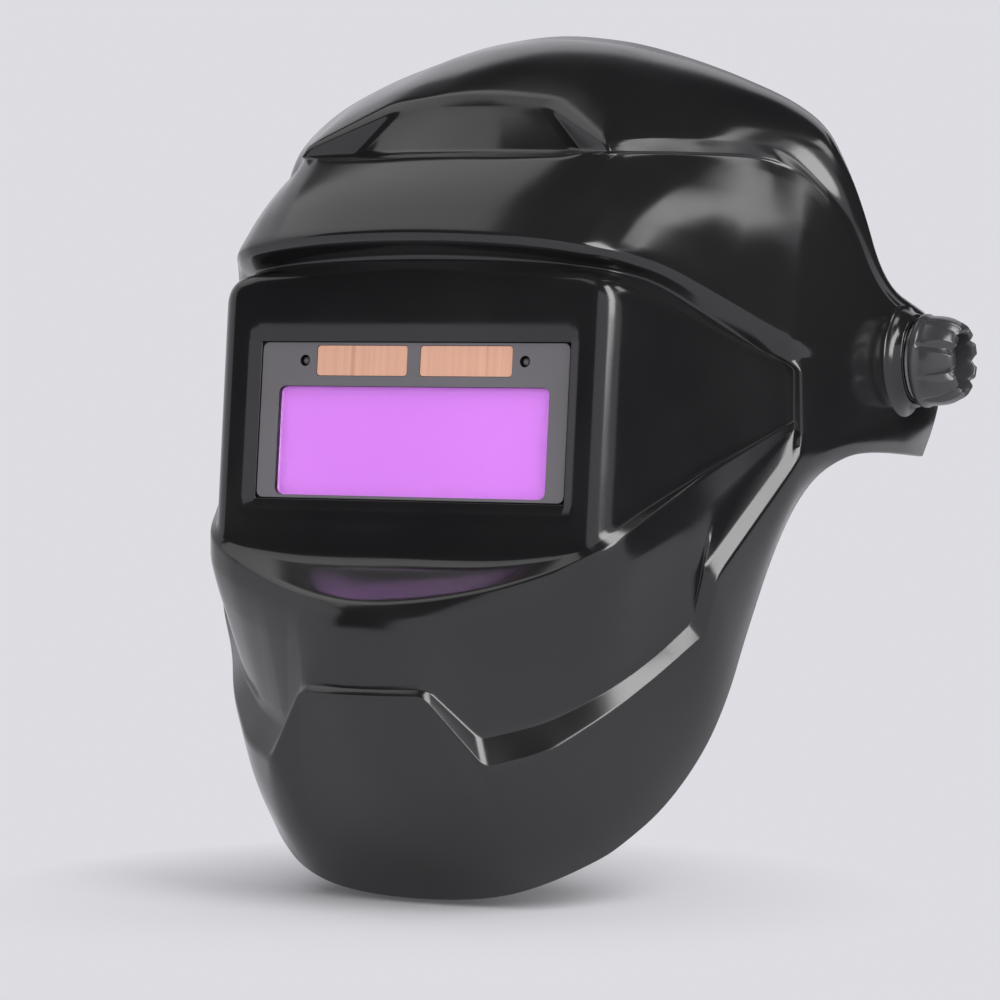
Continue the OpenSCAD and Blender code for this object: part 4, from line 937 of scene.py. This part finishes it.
def closed_loft(name, rings):
    """Rings of points joined into a closed form with a fan of triangles at each end."""
    count, sides = rings.shape[:2]
    points = np.concatenate([rings.reshape(-1, 3), [rings[0].mean(0), rings[-1].mean(0)]])
    j = np.arange(sides)
    fans = [np.stack([np.full(sides, centre), first + j, first + (j + 1) % sides], -1)
            for centre, first in ((count * sides, 0), (count * sides + 1, (count - 1) * sides))]
    return outward(mesh_object(name, points, quad_faces(count, sides, False, True), np.concatenate(fans)))


def seam_pull(depth, s, seams):
    """How far a point is drawn in: deepest on each seam line, and only where the pad is deep."""
    off = np.abs(s * seams - np.round(s * seams))
    return SEAM_DEPTH * np.clip((depth - SEAM_FROM) / SEAM_FROM, 0, 1) * np.exp(-(off / SEAM_WIDTH) ** 2)


print("pad shapes ready")

# %% [markdown]
# The sweatband follows the inside of the headband's front, with seven seams. Its back is kept off the band,
# so nothing cuts into the plastic.

# %% Sweatband
SWEAT_SPAN, SWEAT_T, SWEAT_H, SWEAT_SEAMS = math.radians(60.0), 8.0, 32.0, 7
BACK_GAP, SLACK, EDGE_SLACK = 0.35, 0.6, 0.5


def sweatband():
    """Angle a runs along the band; depth and height come from the section."""
    s, thick, z = pad_rings(90, SWEAT_T, SWEAT_H, 0.9)
    x, y = band_xy(mix(-SWEAT_SPAN, SWEAT_SPAN, s), -BAND_T / 2 - SLACK - thick)
    pad = swell(closed_loft("sweatband_pad", from_band(np.stack([x, y, z], -1))))
    p = to_band(read_points(pad.data))
    across, onward = p[:, 0] / BAND_HALF_W, -p[:, 1] / BAND_FRONT
    a = np.arctan2(across, onward)
    d = (np.hypot(across, onward) - 1) * np.hypot(BAND_HALF_W * np.sin(a), BAND_FRONT * np.cos(a))
    d = d + seam_pull(-d, (a / SWEAT_SPAN + 1) / 2, SWEAT_SEAMS)
    d = np.clip(d, -BAND_T / 2 - SWEAT_T - SLACK, -BAND_T / 2 - BACK_GAP)
    z = np.clip(p[:, 2], -SWEAT_H / 2 - EDGE_SLACK, SWEAT_H / 2 + EDGE_SLACK)
    x, y = band_xy(a, d)
    write_points(pad.data, from_band(np.stack([x, y, z], -1)))
    lay_weave(pad, a * (BAND_HALF_W + BAND_FRONT) / 2 * MM, (z + d) * MM)
    return pad


sweat_pad = dress(sweatband(), pad_cloth, "headgear", "padding", "sweatband")
print("sweatband faces", len(sweat_pad.data.polygons))

# %% [markdown]
# The nape pad is a small cushion on the front of the ratchet housing. It is made like the sweatband, but it
# is straight and has a flat back, which is kept just clear of the housing.

# %% Nape pad
NAPE_W, NAPE_H, NAPE_T, NAPE_BACK, NAPE_SEAMS = 62.0, 34.0, 9.0, 87.7, 4
START_WIDTH, START_GAP, NAPE_GAP = 0.95, 0.5, 0.05


def nape_pad():
    """Flat-backed cushion across the nape, with the same section as the sweatband."""
    s, thick, z = pad_rings(50, NAPE_T, NAPE_H, 0.86)
    x = np.broadcast_to(START_WIDTH * NAPE_W * (s - 0.5), thick.shape)
    rings = from_band(np.stack([x, NAPE_BACK - START_GAP - thick, z], -1))
    pad = swell(closed_loft("nape_cushion", rings))
    p = to_band(read_points(pad.data))
    y = p[:, 1] + seam_pull(NAPE_BACK - p[:, 1], p[:, 0] / NAPE_W + 0.5, NAPE_SEAMS)
    y = np.clip(y, NAPE_BACK - NAPE_T - SLACK, NAPE_BACK - NAPE_GAP)
    x = np.clip(p[:, 0], -NAPE_W / 2 - EDGE_SLACK, NAPE_W / 2 + EDGE_SLACK)
    write_points(pad.data, from_band(np.stack([x, y, p[:, 2]], -1)))
    lay_weave(pad, x * MM, (p[:, 2] + y) * MM)
    return pad


nape_cushion = dress(nape_pad(), pad_cloth, "rear_cradle", "padding", "nape_pad")
print("nape pad faces", len(nape_cushion.data.polygons))

# %% [markdown]
# ## Rear straps
# Two flexible straps run from the headband's ends into the ratchet housing. They bend when the size
# is adjusted. Each is one band, and its path is the headband's ellipse, then a straight run into the
# housing.

# %% Rear straps
STRAP_D, STRAP_T, STRAP_H = 2.1, 1.6, 15.0
STRAP_FROM, STRAP_TURN = math.radians(116.0), math.radians(155.0)
STRAP_IN, STRAP_RUN, STRAP_PASSES = (28.0, 92.2), 18.0, 6


def strap_path(count=80):
    """Ellipse from the bracket's foot to the turn, then a straight run into the housing."""
    x, y = band_xy(np.linspace(STRAP_FROM, STRAP_TURN, 60), STRAP_D)
    path = np.concatenate([np.stack([x, y], 1), [STRAP_IN, (STRAP_IN[0] - STRAP_RUN, STRAP_IN[1])]])
    for _ in range(STRAP_PASSES):
        path[1:-1] = path[1:-1] * 0.5 + (path[:-2] + path[2:]) * 0.25
    length = np.concatenate([[0], np.cumsum(np.linalg.norm(np.diff(path, axis=0), axis=1))])
    at = np.linspace(0, length[-1], count)
    return np.stack([np.interp(at, length, path[:, 0]), np.interp(at, length, path[:, 1])], 1)


def rear_strap(word):
    """Rounded rectangle carried along the path, upright in the headband's frame."""
    path = strap_path()
    step = np.gradient(path, axis=0)
    normal = np.stack([-step[:, 1], step[:, 0]], 1) / np.linalg.norm(step, axis=1)[:, None]
    f = np.linspace(0, 2 * np.pi, 40, endpoint=False)
    across = STRAP_T / 2 * signed_power(np.cos(f), 0.5)
    up = STRAP_H / 2 * signed_power(np.sin(f), 0.22)
    at = path[:, None] + normal[:, None] * across[None, :, None]
    points = np.stack([SIDES[word] * at[..., 0], at[..., 1], np.broadcast_to(up, at.shape[:2])], -1)
    return closed_loft("rear_strap_" + word + "_band", from_band(points))


for word in SIDES:
    strap = rear_strap(word)
    strap.data.materials.append(plastic["band_black"])
    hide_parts("rear_strap_" + word)
    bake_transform(strap)
print("straps made")

# %% [markdown]
# ## Finishes of the solid pieces
# The filter, the hardware and the ratchet keep their solids, whose shapes are right already. Each gets
# the finish of its material by name.

# %% Finishes by node
FINISHES = {
    filter_grey: ["filter_front"],
    plastic["case_black"]: ["filter_back", "filter_retainer"],
    plastic["foam_black"]: ["filter_gasket"],
    clear: ["cover_lens", "inner_cover_lens"],
    violet: ["filter_glass"],
    shutter: ["liquid_crystal_cell"],
    solar: ["solar_cells"],
    sensor: ["arc_sensors"],
    plastic["board_green"]: ["circuit_board"],
    steel: ["filter_battery", "retainer_screws", "bracket_rivets", "strap_rivets", "housing_screws",
            "left_stop_washer", "right_stop_washer", "left_knob_washer", "right_knob_washer",
            "detent_spring"],
    brass: ["left_knob_insert", "right_knob_insert"],
    plastic["fibre_brown"]: ["left_friction_washer", "right_friction_washer"],
    plastic["pinion_nylon"]: ["ratchet_pinion"],
    plastic["knob_grey"]: ["ratchet_knob"],
    plastic["band_black"]: [
        "headband", "left_pivot_bracket", "right_pivot_bracket", "left_pivot_bolt", "right_pivot_bolt",
        "crown_strap_left", "crown_strap_right", "crown_peg", "ratchet_housing", "ratchet_cover"],
}
for material, names in FINISHES.items():
    for name in names:
        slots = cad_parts[name].data.materials
        if not slots:
            slots.append(material)
        for n in range(len(slots)):
            slots[n] = material
print("finished", sum(map(len, FINISHES.values())), "solid pieces")

# %% [markdown]
# ## Floor and background
# The floor is plain and pale. Near the helmet it is matt paint that catches the shadow; further out it
# fades into the colour of the background, so no horizon shows, whatever way the camera looks.

# %% Floor
FLOOR_Z, FLOOR_HALF = -0.1652, 9.0
BACKGROUND = (0.72, 0.72, 0.76)
CHIN_SPOT = (0.0, -0.12, FLOOR_Z)
FADE_FROM, FADE_TO = 0.04, 0.15


def rectangle(name, centre, across, up, material):
    """Flat piece: its centre plus half its width and half its height each way."""
    across, up = np.asarray(across, float), np.asarray(up, float)
    corners = np.array([-across - up, across - up, across + up, up - across]) + centre
    piece = mesh_object(name, corners, np.array([[0, 1, 2, 3]]), smooth=False)
    piece.data.materials.append(material)
    return piece


def floor_paint():
    """Pale paint near the middle, mixed by distance into an even glow of the background's colour."""
    material = even_gloss("floor_paint", (0.76, 0.76, 0.79), (0.79, 0.79, 0.82), 3.0, 0.9)
    tree = material.node_tree
    fade = to_range(tree, object_measure(tree, "DISTANCE", CHIN_SPOT), 0, 1, FADE_FROM, FADE_TO)
    glow = add_node(tree, "Emission", BACKGROUND).outputs[0]
    both = add_node(tree, "MixShader", fade, tree.nodes["Principled BSDF"].outputs[0], glow)
    feed(tree.nodes["Material Output"], Surface=both.outputs[0])
    return material


floor = rectangle("floor", (0, 0, FLOOR_Z), (FLOOR_HALF, 0, 0), (0, FLOOR_HALF, 0), floor_paint())
print("floor at", FLOOR_Z)

# %% [markdown]
# ## The room that the plastic reflects
# A black glossy thing is drawn by what it reflects. Camera, glossy and transmission rays see the plain
# background all round. Diffuse rays see a room that gets dimmer towards the ceiling, so that the top of the
# helmet isn't washed out.

# %% World
ROOM_PALE, ROOM_DIM = (0.6, 0.6, 0.63), (0.1, 0.1, 0.105)
DIM_FROM, DIM_TO = 0.2, 0.5


def add_world():
    """Plain background for rays that show it; diffuse rays see a room that is dimmer above."""
    world = bpy.data.worlds.new("studio")
    world.use_nodes = True
    tree = world.node_tree
    height = add_node(tree, "SeparateXYZ", add_node(tree, "TexCoord").outputs["Generated"]).outputs["Z"]
    room = mix_colours(tree, to_range(tree, height, 0, 1, DIM_FROM, DIM_TO), ROOM_PALE, ROOM_DIM)
    path = add_node(tree, "LightPath").outputs
    shown = path["Is Camera Ray"]
    for kind in ("Is Glossy Ray", "Is Transmission Ray"):
        either = add_node(tree, "Math", shown, path[kind])
        either.operation = "MAXIMUM"
        shown = either.outputs[0]
    feed(tree.nodes["Background"], Color=mix_colours(tree, shown, room, BACKGROUND))
    bpy.context.scene.world = world
    return world


add_world()
print("world ready")

# %% [markdown]
# As in a studio for dark goods, black cards stand where the plastic should stay black: one before the face,
# one behind the near ear, and a wide one as the ceiling. Reflections alone see the cards, and they throw no
# shadow.

# %% Black cards
def add_card(name, turn, rise, distance, width, height):
    """Rectangle at a distance along a heading that faces the helmet."""
    out, across = heading(turn, rise), heading(turn + 90, 0)
    up = np.cross(out, across)
    card = rectangle(name, out * distance, across * width / 2, up * height / 2, card_black)
    card.visible_camera = card.visible_diffuse = card.visible_transmission = card.visible_shadow = False
    return card


card_black = even_gloss("card_black", (0.015, 0.015, 0.016), (0.02, 0.02, 0.021), 3.0, 1.0, 0.0)
cards = [add_card("front_card", -27, 26, 1.6, 1.4, 1.4), add_card("right_card", 135, 13, 1.6, 2.8, 1.25),
         add_card("ceiling_card", 0, 90, 2.0, 5.0, 5.0)]
print("cards:", [card.name for card in cards])

# %% [markdown]
# ## Lamps
# Four soft lamps. A large panel overhead, beyond the far side, draws the grey field on the brow. A tall
# strip on the near side lights the edges of the frame, and a small box behind the near ear gives the soft
# spot on the brow's side. A fill from the camera brings the matt pieces up without a reflection of its own.
# A lamp's power is its wanted brightness times its area times pi.

# %% Lamps
def softbox(name, at, aim, size, brightness, reflected=True):
    """Rectangular area lamp of size (width, height) in metres, facing a point."""
    data = bpy.data.lights.new(name, "AREA")
    data.shape = "RECTANGLE"
    data.size, data.size_y = size
    data.energy = brightness * size[0] * size[1] * math.pi
    lamp = add_aimed(name, data, at, Vector(aim) - Vector(at))
    lamp.visible_glossy = reflected
    return lamp


def out_along(turn, rise, distance):
    """Point at a distance from the pivot along a heading."""
    return tuple(distance * heading(turn, rise))


AIM = (0.0, -0.08, -0.02)
# The panel looks straight down; a millimetre's slant says which way its width lies.
PANEL_AT, PANEL_AIM = (-0.85, -0.15, 1.2), (-0.85, -0.149, 0.0)
lamps = [
    softbox("overhead_panel", PANEL_AT, PANEL_AIM, (1.3, 1.3), 1.0),
    softbox("right_strip", out_along(65, 33, 1.5), AIM, (0.58, 1.5), 7.2),
    softbox("rear_right_box", out_along(115, 42, 1.6), AIM, (0.4, 0.4), 3.2),
    softbox("front_fill", out_along(20, 12, 1.8), AIM, (1.0, 1.0), 4.0, reflected=False),
]
bpy.context.scene.view_settings.view_transform = "Standard"
print("lamps:", [lamp.name for lamp in lamps])
